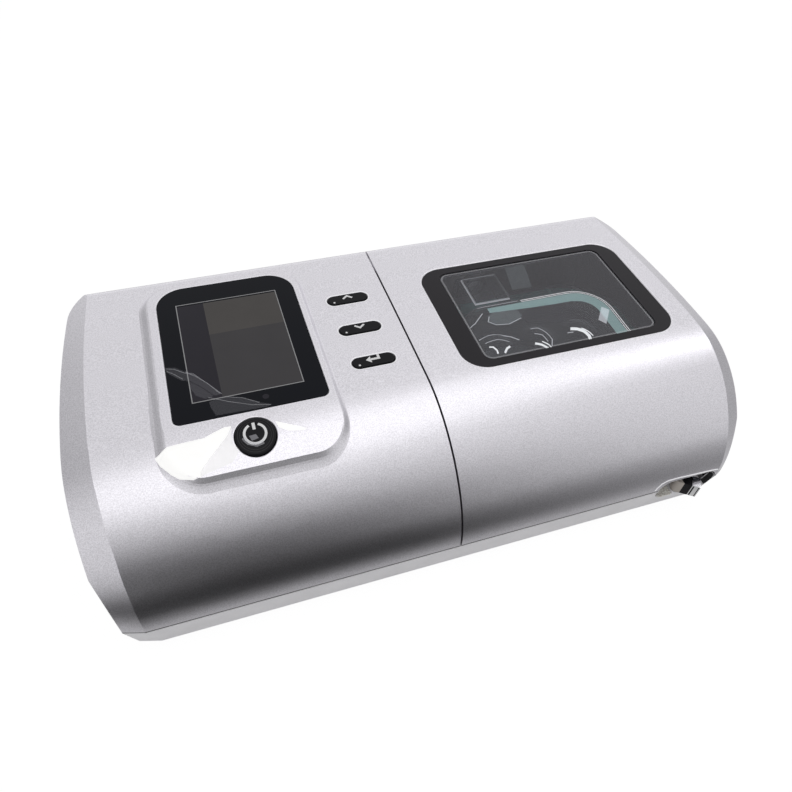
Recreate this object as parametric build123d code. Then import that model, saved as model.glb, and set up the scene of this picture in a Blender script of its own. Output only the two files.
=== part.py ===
from build123d import *
from math import atan, cos, degrees, radians, sin, sqrt
import os

# Bedside breathing machine with a heated humidifier. Millimetres, +Z up, front towards -Y.
# The origin is under the middle of the whole machine, on the surface it stands on.

# --- overall form ---
body_length = 304.8          # over the widest part of the bowed ends
body_depth = 158.0           # front face to rear face
top_height = 72.5            # standing surface to the highest line of the top skin
foot_height = 2.6
tray_height = 17.3           # base tray, from its underside to the parting line
outlet_reach = 20.0          # how far the hose outlet stands out behind
skin = 2.4                   # wall of the moulded casings
front_curve_depth = 57.0     # run of the big front curve, front to back
front_bulge = 0.52           # fullness of that curve (0.55 would be a true quarter ellipse)
top_fall = 1.5               # the top drops this much towards the rear
rear_radius = 6.0            # rear top edge, which is also the nose of the lid hinge
end_widest = 84.0            # the bowed ends are widest this far behind the front
end_recess_front = 5.2       # and this much narrower at the front corner
end_recess_rear = 5.4        # and at the rear corner
rear_corner_radius = 19.0
front_corner_run = 10.0      # flat taken off each front corner, along Y
front_corner_cut = 4.6       # and along X
bevel_width = 8.0            # flat bevel round the right-hand end, along X
bevel_left_front = 12.4      # the left-hand one is wider, most at the front
bevel_left_rear = 9.2
bevel_drop = 3.5             # and its depth under the skin
parting_gap = 0.5            # shadow line between tray and casings
seam_x = 1.5                 # upright seam between the two halves
seam_gap = 0.9
tray_lean = 3.0              # the tray walls draw in this much towards the foot

# --- raised display pad, window and keys ---
pad_rise = 2.0
pad_slopes = (5.0, 5.5, 5.0, 3.0)     # width of the soft slope: rear, left, front, right
pad_profile = (                       # share of the slope's width, of its fall, and of its fall in front
    (-0.1, -0.02, -0.06),
    (0.1, 0.02, 0.3),
    (0.25, 0.14, 0.56),
    (0.4, 0.34, 0.72),
    (0.55, 0.58, 0.83),
    (0.7, 0.8, 0.92),
    (0.85, 0.94, 0.99),
    (1.0, 1.08, 1.08),
)
pad_front_inset = 32.6       # pad's front edge, behind the front face
pad_corner = 13.0
glass_length = 65.0          # along X
glass_width = 85.6           # along Y
glass_thick = 1.6
glass_left = -108.0
glass_front_inset = 57.2
glass_rear_corner = 13.0
glass_front_corner = 3.0
glass_margin_left = 3.5      # pad beyond the glass
glass_margin_right = 2.2
glass_margin_rear = 2.2
glass_gap = 0.15
lcd_length = 50.0
lcd_width = 69.2
lcd_thick = 2.6
lcd_left_margin = 7.2        # from the glass's left edge
lcd_front_margin = 8.6
lcd_frame_wall = 0.5
power_radius = 8.3
power_x = -77.2
power_front_inset = 45.0
power_proud = 0.5
power_round = 0.7             # rounded rim of the power button
power_wall = 1.6              # least wall above its flange pocket
key_length = 19.8
key_width = 6.4
key_proud = 0.5
key_x = -18.5
key_first_inset = 73.7       # front key's centre, behind the front face
key_pitch = 22.3
button_gap = 0.25            # clearance round every button
button_flange = 1.6          # how far a button's flange reaches past its hole
button_flange_thick = 1.2
button_travel = 0.8
button_float = 0.3           # between a flange and the skin above it
window_length = 112.4
window_width = 73.5
window_left = 21.3
window_front_inset = 56.0
window_corner = 12.0
bezel_side = 10.2            # black border at the left
bezel_right = 9.3            # and at the right
bezel_end = 4.3              # and front and rear
bezel_thick = 2.2
bezel_inner_corner = 5.0
bezel_gap = 0.15
lens_flange = 1.6
lens_thick = 1.8
lens_sunk = 0.5              # lens face below the bezel's

# --- circuit boards ---
board_thick = 1.6
display_board_top = 61.0
display_board_length = 100.0
display_board_width = 104.0
display_board_left = -113.0
display_board_front_inset = 36.0
switch_size = 6.2
switch_height = 3.4
stem_side = 3.4
stem_gap = 0.4
main_board_length = 50.0
main_board_width = 108.0
main_board_inset = 15.4       # from the left-hand end
main_board_front_inset = 30.0
main_board_lift = 4.5
post_radius = 3.0
small_screw_radius = 1.1
small_screw_head = 2.1

# --- blower ---
blower_x = -47.0
blower_front_inset = 63.0
blower_bottom = 26.0
blower_height = 20.0
blower_wall = 1.6
scroll_start = 26.5
scroll_growth = 9.0
scroll_outlet = 15.0         # width of the outlet channel
eye_radius = 12.5
impeller_radius = 24.0
impeller_disc = 1.2
blade_count = 11
blade_height = 8.0
blade_thick = 1.0
blade_root = 9.0
blade_sweep = 42.0           # degrees from root to tip
hub_radius = 5.0
shaft_radius = 1.5
running_fit = 0.05
motor_radius = 14.0
motor_bottom = 12.0
mount_radius = 4.0

# --- humidifier ---
bulkhead_offset = 2.8        # behind the lid's seam rib
bay_inset = 5.8              # bay wall inside the outer form
bay_wall = 2.0
bay_height = 20.0
recess_wall_over = 6.0       # the bay's front wall stands this far over the finger recess
tank_gap = 1.2
tank_wall = 1.8
heater_height = 4.0           # top of the heater plate above the bay floor's underside
tank_plate_drop = 1.0
tank_rim = 40.0
tank_rear_inset = 26.0       # tank's rear edge, in front of the rear face
tank_corner_left = 12.0
tank_corner_right = 34.0
gasket_height = 2.6
gasket_width = 8.0
dome_left = 37.5
dome_right_inset = 29.9
dome_rear_inset = 47.0
dome_corner = 22.0
dome_top = 60.0
dome_round = 4.5
flange_thick = 2.0
bump_radius = 9.5
bump_pitch = 23.0
bump_first_x = 46.5
bump_front_inset = 78.0
bump_height = 3.0
panel_wall = 1.4
heater_radius = 44.0
port_y = 0.0
port_z = 53.2
port_radius = 6.0
port_wall = 1.5
seal_height = 2.0

# --- rear connections ---
outlet_x = 61.5
outlet_z = 41.0
outlet_radius = 11.0         # 22 mm breathing hose
outlet_bore = 9.0
outlet_flange = 14.0
outlet_flange_thick = 1.8
jack_inset = 30.4             # jack's axis, from the left-hand end
jack_z = 30.0
jack_outer = 5.0
jack_bore = 2.8
jack_pin = 1.0
jack_depth = 12.0
filter_x = -62.0
filter_z = 38.0
filter_length = 44.0
filter_width = 26.0
filter_depth = 10.0
filter_slats = 7

# --- hinge, latch, feet and fasteners ---
hinge_pin_radius = 1.5
hinge_barrel = 3.1
hinge_width = 14.0
hinge_arm = 4.6
ear_width = 5.0
hinge_left_x = 34.0
hinge_right_inset = 30.4      # from the right-hand end
nose_gap = 0.4
gutter_wall = 1.6
recess_inset = 12.4           # recess, from the right-hand end
recess_length = 34.0
recess_low = 11.0
recess_high = 24.8
recess_depth = 9.0
recess_round = 1.0            # rounded rim of the recess in the lid
lever_length = 9.5
lever_lift = 1.65             # above the recess's floor
lever_height = 8.0
lever_thick = 6.0
lever_pivot_end = 30.9        # pivot, from the right-hand end
lever_pivot_inset = 3.6
lever_angle = 35.0
trim_wall = 1.0
trim_length = 4.0
latch_pin_radius = 1.2
foot_radius = 9.0
foot_sink = 0.8
foot_end_inset = 30.4
foot_front_inset = 22.0
foot_rear_inset = 20.0
screw_radius = 1.5
screw_head = 3.0
screw_head_height = 2.0
screw_length = 22.0
tower_radius = 4.2
screw_hole_gap = 0.1
vent_count = 9
vent_pitch = 5.5
vent_length = 26.0
vent_width = 2.2

# --- places worked out from the above ---
lever_reach = lever_length * sin(radians(lever_angle)) + lever_thick / 2 * cos(radians(lever_angle))
lever_reach = lever_reach - lever_pivot_inset
front_y = -(body_depth + outlet_reach - lever_reach) / 2
rear_y = front_y + body_depth
split_z = foot_height + tray_height
floor_z = foot_height + skin
bay_floor = floor_z
tank_bottom = bay_floor + heater_height + tank_plate_drop
bay_front = front_y + recess_depth + 3.4
web_y = rear_y - bay_inset - bay_wall
half_length = body_length / 2
jack_x = -half_length + jack_inset
main_board_left = -half_length + main_board_inset
dome_right = half_length - dome_right_inset
hinge_x_positions = (hinge_left_x, half_length - hinge_right_inset)
recess_right = half_length - recess_inset
recess_left = recess_right - recess_length
lever_pivot_x = half_length - lever_pivot_end
foot_x = half_length - foot_end_inset
hinge_wall_end = half_length - 14.0
rear_top_z = top_height - top_fall
hinge_y = rear_y - rear_radius
hinge_z = rear_top_z - rear_radius
pad_top = top_height + pad_rise
glass_front = front_y + glass_front_inset
glass_x = glass_left + glass_length / 2
glass_y = glass_front + glass_width / 2
lcd_x = glass_left + lcd_left_margin + lcd_length / 2
lcd_y = glass_front + lcd_front_margin + lcd_width / 2
lcd_top = pad_top - glass_thick - 0.3
power_y = front_y + power_front_inset
power_pocket_radius = power_radius + button_flange + 0.8
key_names = ("key_enter", "key_down", "key_up")
window_front = front_y + window_front_inset
window_x = window_left + window_length / 2
window_y = window_front + window_width / 2
left_edge = seam_x - seam_gap / 2       # right-hand limit of the fixed half
right_edge = seam_x + seam_gap / 2      # left-hand limit of the lid
bulkhead_x = right_edge + skin + bulkhead_offset - skin
bay_left = bulkhead_x + bay_wall
blower_y = front_y + blower_front_inset
display_board_front = front_y + display_board_front_inset
main_board_front = front_y + main_board_front_inset
main_board_z = floor_z + main_board_lift
tower_places = [
    (-100.0, front_y + 14),
    (-100.0, rear_y - 9),
    (left_edge - 9, front_y + 15),
    (left_edge - 9, rear_y - 12),
]
foot_places = [
    (side * foot_x, y)
    for side in (-1, 1)
    for y in (front_y + foot_front_inset, rear_y - foot_rear_inset)
]


def save(part, name):
    export_step(part, f"parts/{name}.step")


def block(x0, x1, y0, y1, z0, z1):
    """A box between two corners."""
    return Pos((x0 + x1) / 2, (y0 + y1) / 2, (z0 + z1) / 2) * Box(x1 - x0, y1 - y0, z1 - z0)


def rod(x, y, z0, z1, radius):
    """An upright cylinder."""
    return Pos(x, y, (z0 + z1) / 2) * Cylinder(radius, z1 - z0)


def across(y, z, x0, x1, radius):
    """A cylinder along X."""
    return Pos((x0 + x1) / 2, y, z) * Rot(0, 90, 0) * Cylinder(radius, x1 - x0)


def rearward(x, z, y0, y1, radius):
    """A cylinder along Y."""
    return Pos(x, (y0 + y1) / 2, z) * Rot(90, 0, 0) * Cylinder(radius, y1 - y0)


def plate(face, z0, z1):
    """A flat face drawn on the ground plane, thickened between two heights."""
    return Pos(0, 0, z0) * extrude(face, z1 - z0, dir=(0, 0, 1))


def rounded(x0, x1, y0, y1, radii):
    """A rectangle with its own radius at each corner: front left, front right, rear right, rear left."""
    fl, fr, rr, rl = radii
    k = 1 - sqrt(0.5)
    with BuildSketch() as sketch:
        with BuildLine():
            Line((x0 + fl, y0), (x1 - fr, y0))
            ThreePointArc((x1 - fr, y0), (x1 - k * fr, y0 + k * fr), (x1, y0 + fr))
            Line((x1, y0 + fr), (x1, y1 - rr))
            ThreePointArc((x1, y1 - rr), (x1 - k * rr, y1 - k * rr), (x1 - rr, y1))
            Line((x1 - rr, y1), (x0 + rl, y1))
            ThreePointArc((x0 + rl, y1), (x0 + k * rl, y1 - k * rl), (x0, y1 - rl))
            Line((x0, y1 - rl), (x0, y0 + fl))
            ThreePointArc((x0, y0 + fl), (x0 + k * fl, y0 + k * fl), (x0 + fl, y0))
        make_face()
    return sketch.sketch


def edges_inside(part, x0, x1, y0, y1, z0, z1):
    """The edges that lie wholly inside a box."""
    found = []
    for edge in part.edges():
        size = edge.bounding_box()
        inside_x = size.min.X >= x0 and size.max.X <= x1
        inside_y = size.min.Y >= y0 and size.max.Y <= y1
        if inside_x and inside_y and size.min.Z >= z0 and size.max.Z <= z1:
            found.append(edge)
    return found


def skin_top(y):
    """Height of the top skin, which falls away gently towards the rear."""
    along = (y - front_y - front_curve_depth) / (hinge_y - front_y - front_curve_depth)
    return top_height - top_fall * max(along, 0) ** 2


def on_window(part):
    """Tilt a window piece to lie in the falling top."""
    fall = top_height - skin_top(window_front + window_width)
    tilt = Rot(-degrees(atan(fall / window_width)) * 0.9, 0, 0)
    return Pos(0, window_front, top_height) * tilt * Pos(0, -window_front, -top_height) * part


# --- the outer form that both halves share ---
def side_profile(inset, low):
    """Section across the machine, drawn with Y to the right and Z up, drawn in by inset."""
    front = front_y + inset
    rear = rear_y - inset
    top = top_height - inset
    curve_end = front_y + front_curve_depth
    rise = top - split_z
    run = curve_end - front
    nose = max(rear_radius - inset, 1.0)
    rear_top = top - top_fall
    flat_end = rear - nose
    with BuildSketch(Plane.YZ) as sketch:
        with BuildLine():
            Line((front, low), (front, split_z))
            Bezier(
                (front, split_z),
                (front, split_z + front_bulge * rise),
                (curve_end - front_bulge * run, top),
                (curve_end, top),
            )
            ThreePointArc(
                (curve_end, top),
                ((curve_end + flat_end) / 2, top - top_fall / 4),
                (flat_end, rear_top),
            )
            RadiusArc((flat_end, rear_top), (rear, rear_top - nose), nose)
            Line((rear, rear_top - nose), (rear, low))
            Line((rear, low), (front, low))
        make_face()
    return sketch.sketch


def end_arc(inset):
    """Plan curve of the right-hand end."""
    half = half_length - inset
    front = front_y + inset
    rear = rear_y - inset
    widest = (half, front_y + end_widest)
    return ThreePointArc((half - end_recess_front, front), widest, (half - end_recess_rear, rear))


def plan_outline(inset, corner_cut=False):
    """Plan of the whole machine, drawn in by inset, its rear corners rounded."""
    half = half_length - inset
    front = front_y + inset
    rear = rear_y - inset
    front_x = half - end_recess_front
    rear_x = half - end_recess_rear
    widest_y = front_y + end_widest
    with BuildSketch() as sketch:
        with BuildLine():
            Line((-front_x, front), (front_x, front))
            ThreePointArc((front_x, front), (half, widest_y), (rear_x, rear))
            Line((rear_x, rear), (-rear_x, rear))
            ThreePointArc((-rear_x, rear), (-half, widest_y), (-front_x, front))
        make_face()
        rear_corners = sketch.vertices().sort_by(Axis.Y)[-2:]
        fillet(rear_corners, max(rear_corner_radius - inset, 2))
    outline = sketch.sketch
    for side in (-1, 1):
        flat = [
            (side * (front_x - 2 * front_corner_cut), front - front_corner_run),
            (side * (front_x + front_corner_cut), front + 2 * front_corner_run),
            (side * (front_x + 3 * front_corner_cut), front - front_corner_run),
        ]
        outline = outline - make_face(Polyline(*flat, close=True))
    if corner_cut:
        for side in (-1, 1):
            width = bevel_width if side > 0 else bevel_left_front
            corner = [
                (side * (front_x - width), front - 0.01),
                (side * (front_x + width), front + 2 * bevel_drop),
                (side * (front_x + width), front - 0.01),
            ]
            outline = outline - make_face(Polyline(*corner, close=True))
    return outline


def bevel_cutter(inset, low, front_width, rear_width):
    """The wedge that takes the flat bevel off the right-hand end, lofted along the side profile."""
    top = top_height - inset
    front = front_y + inset
    rear = rear_y - inset
    curve_end = front_y + front_curve_depth
    rise = top - split_z
    run = curve_end - front
    with BuildLine() as path:
        Line((front, low), (front, split_z))
        Bezier(
            (front, split_z),
            (front, split_z + front_bulge * rise),
            (curve_end - front_bulge * run, top),
            (curve_end, top),
        )
        ThreePointArc((curve_end, top), ((curve_end + rear) / 2, top - top_fall / 4), (rear + 30, top - 2))
    spine = path.wire()
    arc = end_arc(inset)
    centre = arc.arc_center
    over = 0.3
    stations = 22
    sections = []
    for station in range(stations + 1):
        width = front_width + (rear_width - front_width) * station / stations
        wedge = Polyline(
            (-width * (1 + over), -bevel_drop * over),
            (width * over, bevel_drop * (1 + over)),
            (width * over, -bevel_drop * over),
            close=True,
        )
        point = spine.position_at(station / stations)
        heading = spine.tangent_at(station / stations)
        x = centre.X + sqrt(arc.radius**2 - (point.X - centre.Y) ** 2)
        seat = Plane(origin=(x, point.X, point.Y), x_dir=(1, 0, 0), z_dir=(0, heading.X, heading.Y))
        sections.append(seat * make_face(wedge))
    return loft(sections)


def body_form(inset, low=0.0):
    """The solid outer form, drawn in by inset, from height low to the top."""
    slab = extrude(side_profile(inset, low), body_length, both=True)
    tower = plate(plan_outline(inset), low - 1, top_height + 10)
    right = bevel_cutter(inset, low, bevel_width, bevel_width)
    left = bevel_cutter(inset, low, bevel_left_front, bevel_left_rear)
    return (slab & tower) - right - mirror(left, about=Plane.YZ)


outer_form = body_form(0)
inner_form = body_form(skin)
casing_low = split_z + parting_gap


# --- base tray and what stands on it ---
def tray_hull(inset, z0, z1):
    """Tray form between two heights, its walls leaning in towards the foot."""
    def lean(z):
        return inset + tray_lean * (split_z - z) / tray_height

    low = Pos(0, 0, z0) * plan_outline(lean(z0), corner_cut=True)
    high = Pos(0, 0, z1) * plan_outline(lean(z1), corner_cut=True)
    return loft([low, high], ruled=True)


def recess_cut(grow=0.0):
    """The finger recess at the lower front right, shared by lid and tray."""
    width = recess_right - recess_left + 2 * grow
    height = recess_high - recess_low + 2 * grow
    centre = ((recess_left + recess_right) / 2, (recess_low + recess_high) / 2)
    seat = Plane(origin=(centre[0], front_y - 5, centre[1]), x_dir=(1, 0, 0), z_dir=(0, -1, 0))
    slot = RectangleRounded(width, height, height / 2 - 0.1)
    return extrude(seat * slot, -(recess_depth + grow + 5))


def make_tray():
    tray = tray_hull(0, foot_height, split_z) - tray_hull(skin, floor_z, split_z + 1)
    lip_ring = plan_outline(skin + 0.3, corner_cut=True) - plan_outline(skin + 1.8, corner_cut=True)
    lip = plate(lip_ring, split_z - 4, split_z + 2.4)
    foot_of_lip = plate(plan_outline(1.4, True) - plan_outline(skin + 1.8, True), split_z - 4, split_z - 1)
    lip = (lip + foot_of_lip) & block(-half_length, left_edge - skin - 1, front_y, rear_y, 0, top_height)
    tray = tray + lip
    for x, y in tower_places:
        tray = tray + rod(x, y, floor_z - 0.2, split_z - 1.5, tower_radius)
    for x, y in tower_places:
        tray = tray - rod(x, y, 0, split_z, screw_radius + screw_hole_gap)
        tray = tray - rod(x, y, 0, foot_height + screw_head_height + 0.6, screw_head + 0.3)
    for x, y in foot_places:
        tray = tray - rod(x, y, 0, foot_height + foot_sink, foot_radius + 0.15)
    for post_x, post_y in board_posts():
        post = rod(post_x, post_y, floor_z - 0.2, main_board_z, post_radius)
        tray = tray + (post - rod(post_x, post_y, floor_z + 1, main_board_z + 1, small_screw_radius + 0.05))
    for slot in range(vent_count):
        x = blower_x + (slot - (vent_count - 1) / 2) * vent_pitch
        y = blower_y + 62
        tray = tray - block(x - vent_width / 2, x + vent_width / 2, y, y + vent_length, 0, floor_z + 1)
    shelf_back = front_y + recess_depth + 2.4
    shelf = block(recess_left - 4, recess_right - 3, front_y + 2, shelf_back, recess_low - 2, split_z)
    tray = tray + (shelf & tray_hull(0.5, floor_z - 1, split_z))
    tray = tray - recess_cut()
    floor_of_recess = front_y + recess_depth
    pivot_y = front_y + lever_pivot_inset
    stand_low = recess_low - 0.5
    stand_high = lever_z() - 0.4
    stand = rod(lever_pivot_x, pivot_y, stand_low, stand_high, 3.0)
    stand = stand + block(
        lever_pivot_x - 3, lever_pivot_x + 3, pivot_y, floor_of_recess + 0.5, stand_low, stand_high
    )
    tray = tray + stand
    tray = tray - rod(lever_pivot_x, pivot_y, recess_low - 0.5, split_z, latch_pin_radius)
    return tray


def board_posts():
    """Places of the main board's four posts."""
    edge = 5.0
    return [
        (x, y)
        for x in (main_board_left + edge, main_board_left + main_board_length - edge)
        for y in (main_board_front + edge, main_board_front + main_board_width - edge)
    ]


def lever_z():
    """Underside of the latch lever."""
    return recess_low + lever_lift


def make_feet():
    feet = []
    for x, y in foot_places:
        foot = rod(x, y, 0, foot_height + foot_sink, foot_radius)
        feet.append(fillet(foot.edges().group_by(Axis.Z)[0], 0.8))
    return Compound(children=feet)


def make_tray_screws():
    screws = []
    for x, y in tower_places:
        low = foot_height + 0.6
        screw = rod(x, y, low, low + screw_head_height, screw_head)
        shank_low = low + screw_head_height
        screw = screw + rod(x, y, shank_low, shank_low + screw_length, screw_radius)
        screw = screw - Pos(x, y, low) * extrude(RegularPolygon(1.2, 6), 0.9, both=True)
        screws.append(screw)
    return Compound(children=screws)


# --- fixed left-hand casing ---
def skin_front(y):
    """Height of the outer skin anywhere from front to rear."""
    if y >= front_y + front_curve_depth:
        return skin_top(y)
    low, high = 0.0, 1.0
    for _ in range(40):
        t = (low + high) / 2
        s = 1 - t
        reach = 3 * s * t * t * (1 - front_bulge) + t**3
        low, high = (t, high) if front_y + reach * front_curve_depth < y else (low, t)
    return split_z + (top_height - split_z) * (3 * s * s * t * front_bulge + 3 * s * t * t + t**3)


def pad_height(y):
    """Height of the pad's top face."""
    return min(skin_front(y), top_height) + pad_rise if y < glass_front else pad_top


def pad_ring(out, drop, front_drop):
    """Closed curve round the pad, out by a share of each side's slope and down by a share of its fall."""
    x0 = glass_left - glass_margin_left + pad_corner
    x1 = glass_left + glass_length + glass_margin_right - pad_corner
    y0 = front_y + pad_front_inset + pad_corner
    y1 = glass_front + glass_width + glass_margin_rear - pad_corner
    rear, left, front, right = (pad_corner + out * slope for slope in pad_slopes)
    corners = (
        (x1, y1, right, rear, 0),
        (x0, y1, left, rear, 90),
        (x0, y0, left, front, 180),
        (x1, y0, right, front, 270),
    )
    points = []
    for index, (x, y, reach_x, reach_y, start) in enumerate(corners):
        arc = [
            (x + reach_x * cos(radians(start + turn)), y + reach_y * sin(radians(start + turn)))
            for turn in (0, 15, 30, 45, 60, 75, 90)
        ]
        points += arc
        ahead = corners[(index + 1) % 4]
        last = arc[-1]
        first = (
            ahead[0] + ahead[2] * cos(radians(ahead[4])),
            ahead[1] + ahead[3] * sin(radians(ahead[4])),
        )
        for share in (0.06, 0.35, 0.65, 0.94):
            points.append(tuple(a + (b - a) * share for a, b in zip(last, first)))
    ring = []
    for x, y in points:
        ahead = min(max((y0 - y) / pad_corner, 0), 1)
        fall = drop + (front_drop - drop) * ahead
        high = pad_height(y)
        ring.append((x, y, high - fall * (high - skin_front(y))))
    return ring


def above_pad(lift=0.0):
    """Everything over the pad's top face, which follows the front curve of the casing."""
    curve_end = front_y + front_curve_depth
    low = split_z + pad_rise + lift
    top = pad_top + lift
    rise = top - low
    with BuildSketch(Plane.YZ) as sketch:
        with BuildLine():
            Bezier(
                (front_y, low),
                (front_y, low + front_bulge * rise),
                (curve_end - front_bulge * front_curve_depth, top),
                (curve_end, top),
            )
            Polyline((curve_end, top), (rear_y + 5, top), (rear_y + 5, top + 20))
            Polyline((rear_y + 5, top + 20), (front_y, top + 20), (front_y, low))
        make_face()
    return extrude(sketch.sketch, half_length, both=True)


def make_pad():
    """The raised pad: a top face parallel to the casing, and a soft slope all round it."""
    rings = []
    for out, drop, front_drop in pad_profile:
        rings.append(pad_ring(out, drop, front_drop))
    high = [(x, y, pad_top + 6) for x, y, _ in rings[0]]
    foot = [(x, y, display_board_top - 6) for x, y, _ in rings[-1]]
    wires = []
    for ring in [high] + rings + [foot]:
        wires.append(Wire([Edge.make_spline([Vector(*p) for p in ring], periodic=True)]))
    return Solid.make_loft(wires, ruled=True) - above_pad()


def glass_outline(grow=0.0):
    rear = glass_rear_corner + grow
    front = glass_front_corner + grow
    return rounded(
        glass_left - grow,
        glass_left + glass_length + grow,
        glass_front - grow,
        glass_front + glass_width + grow,
        (front, front, rear, rear),
    )


def key_places():
    return [
        (name, key_x, front_y + key_first_inset + index * key_pitch)
        for index, name in enumerate(key_names)
    ]


def stadium(x, y, length, width):
    return Pos(x, y) * SlotOverall(length, width)


def display_posts():
    """Places of the four posts that carry the display board."""
    edge = 5.0
    x0 = display_board_left + edge
    x1 = display_board_left + display_board_length - edge
    y0 = display_board_front + edge
    y1 = display_board_front + display_board_width - edge
    return [(x0, y0), (x1, y0), (x1, y1), (x0, y1)]


def make_main_housing():
    room = block(-half_length - 1, left_edge, front_y - 1, rear_y + 1, casing_low, top_height + 5)
    hollow = block(-half_length, left_edge - skin, front_y - 1, rear_y + 1, 0, top_height)
    housing = ((outer_form & room) + make_pad()) - (inner_form & hollow)
    # display opening
    housing = housing - plate(glass_outline(glass_gap), pad_top - glass_thick, pad_top + 1)
    lcd_room = 0.6
    housing = housing - block(
        lcd_x - lcd_length / 2 - lcd_room,
        lcd_x + lcd_length / 2 + lcd_room,
        lcd_y - lcd_width / 2 - lcd_room,
        lcd_y + lcd_width / 2 + lcd_room,
        display_board_top,
        pad_top,
    )
    # button openings
    housing = housing - rod(power_x, power_y, display_board_top, pad_top + 1, power_radius + button_gap)
    housing = housing - rod(power_x, power_y, display_board_top, power_pocket_top(), power_pocket_radius)
    for _, x, y in key_places():
        hole = stadium(x, y, key_length + 2 * button_gap, key_width + 2 * button_gap)
        housing = housing - plate(hole, display_board_top, pad_top)
    # towers for the tray screws and posts for the display board
    for x, y in tower_places:
        tower = rod(x, y, split_z - 1.2, top_height, tower_radius)
        housing = housing + (tower & body_form_thin)
        housing = housing - rod(x, y, 0, split_z + screw_length, screw_radius + screw_hole_gap)
    for x, y in display_posts():
        post = rod(x, y, display_board_top, top_height, post_radius)
        hole = rod(x, y, display_board_top - 1, display_board_top + 6, small_screw_radius + 0.05)
        housing = housing + (post & body_form_thin) - hole
    # air port through the seam wall
    port = port_radius + port_wall + 0.3
    housing = housing - across(port_y, port_z, left_edge - skin - 1, left_edge + 1, port)
    # rear openings: power jack and air filter
    housing = housing - rearward(jack_x, jack_z, rear_y - skin - 1, rear_y + 1, jack_outer + 0.1)
    housing = housing - block(
        filter_x - filter_length / 2,
        filter_x + filter_length / 2,
        rear_y - skin - 1,
        rear_y + 1,
        filter_z - filter_width / 2,
        filter_z + filter_width / 2,
    )
    well_wall = 1.6
    outer = block(
        filter_x - filter_length / 2 - well_wall,
        filter_x + filter_length / 2 + well_wall,
        rear_y - filter_depth - well_wall,
        rear_y - skin / 2,
        filter_z - filter_width / 2 - well_wall,
        filter_z + filter_width / 2 + well_wall,
    )
    inner = block(
        filter_x - filter_length / 2,
        filter_x + filter_length / 2,
        rear_y - filter_depth,
        rear_y + 1,
        filter_z - filter_width / 2,
        filter_z + filter_width / 2,
    )
    mouth = block(
        filter_x - filter_length / 2 + 4,
        filter_x + filter_length / 2 - 4,
        rear_y - filter_depth - well_wall - 1,
        rear_y,
        filter_z - filter_width / 2 + 4,
        filter_z + filter_width / 2 - 4,
    )
    housing = housing + (outer - inner) - inner - mouth
    # soft rims round the glass, the power button and the keys
    half = glass_gap + 0.05
    glass_rim = edges_inside(
        housing, glass_left - half, glass_left + glass_length + half, glass_front - half,
        glass_front + glass_width + half, pad_top - 0.1, pad_top + 0.1,
    )
    housing = fillet(glass_rim, 0.35)
    half = power_radius + button_gap + 0.1
    power_rim = edges_inside(
        housing, power_x - half, power_x + half, power_y - half, power_y + half,
        power_pocket_top() + 0.2, pad_top + 0.1,
    )
    housing = fillet(power_rim, 0.5)
    for _, x, y in key_places():
        half_x = key_length / 2 + button_gap + 0.1
        half_y = key_width / 2 + button_gap + 0.1
        rim = edges_inside(
            housing, x - half_x, x + half_x, y - half_y, y + half_y, top_height - 1.6, top_height + 1
        )
        housing = fillet(rim, 0.5)
    return housing


body_form_thin = body_form(skin / 2)


def make_display_window():
    glass = plate(glass_outline(), pad_top - glass_thick, pad_top)
    return glass


def make_lcd():
    """Sheet metal frame with four legs, and the panel it holds."""
    x0, x1 = lcd_x - lcd_length / 2, lcd_x + lcd_length / 2
    y0, y1 = lcd_y - lcd_width / 2, lcd_y + lcd_width / 2
    bottom = lcd_top - lcd_thick
    frame = block(x0, x1, y0, y1, bottom, lcd_top)
    wall = lcd_frame_wall
    frame = frame - block(x0 + wall, x1 - wall, y0 + wall, y1 - wall, bottom - 1, lcd_top - wall)
    frame = frame - block(x0 + 1.6, x1 - 1.6, y0 + 1.6, y1 - 1.6, bottom - 1, lcd_top + 1)
    for x in (x0 + 3, x1 - 3):
        for side, y in ((0, y0), (1, y1 - wall)):
            frame = frame + block(x - 2, x + 2, y, y + wall, display_board_top, bottom + 1)
    panel = block(x0 + wall, x1 - wall, y0 + wall, y1 - wall, bottom, lcd_top - wall)
    return frame, panel


def make_button(face_outline, flange_outline, x, y, top, bottom, dome):
    """A button cap with its flange and a square stem that reaches down to its switch."""
    cap = plate(face_outline, bottom, top)
    cap = fillet(cap.edges().group_by(Axis.Z)[-1], dome)
    flange = plate(flange_outline, bottom - button_flange_thick, bottom)
    stem_low = display_board_top + switch_height + button_travel + stem_gap
    stem = block(
        x - stem_side / 2, x + stem_side / 2, y - stem_side / 2, y + stem_side / 2, stem_low, bottom - 0.2
    )
    return cap + flange + stem


def power_pocket_top():
    """Ceiling of the pocket for the power button's flange."""
    return pad_height(power_y - power_pocket_radius) - power_wall


def make_power_button():
    """Round button whose face runs parallel to the pad."""
    flange_top = power_pocket_top() - button_float
    cap = rod(power_x, power_y, flange_top, pad_top + 2, power_radius) - above_pad(power_proud)
    half = power_radius + 0.1
    rim = edges_inside(
        cap, power_x - half, power_x + half, power_y - half, power_y + half, flange_top + 0.5, pad_top + 2
    )
    cap = fillet(rim, power_round)
    flange_low = flange_top - button_flange_thick
    flange = rod(power_x, power_y, flange_low, flange_top, power_radius + button_flange)
    stem_low = display_board_top + switch_height + button_travel + stem_gap
    half = stem_side / 2
    stem = block(power_x - half, power_x + half, power_y - half, power_y + half, stem_low, flange_top)
    return cap + flange + stem


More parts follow.
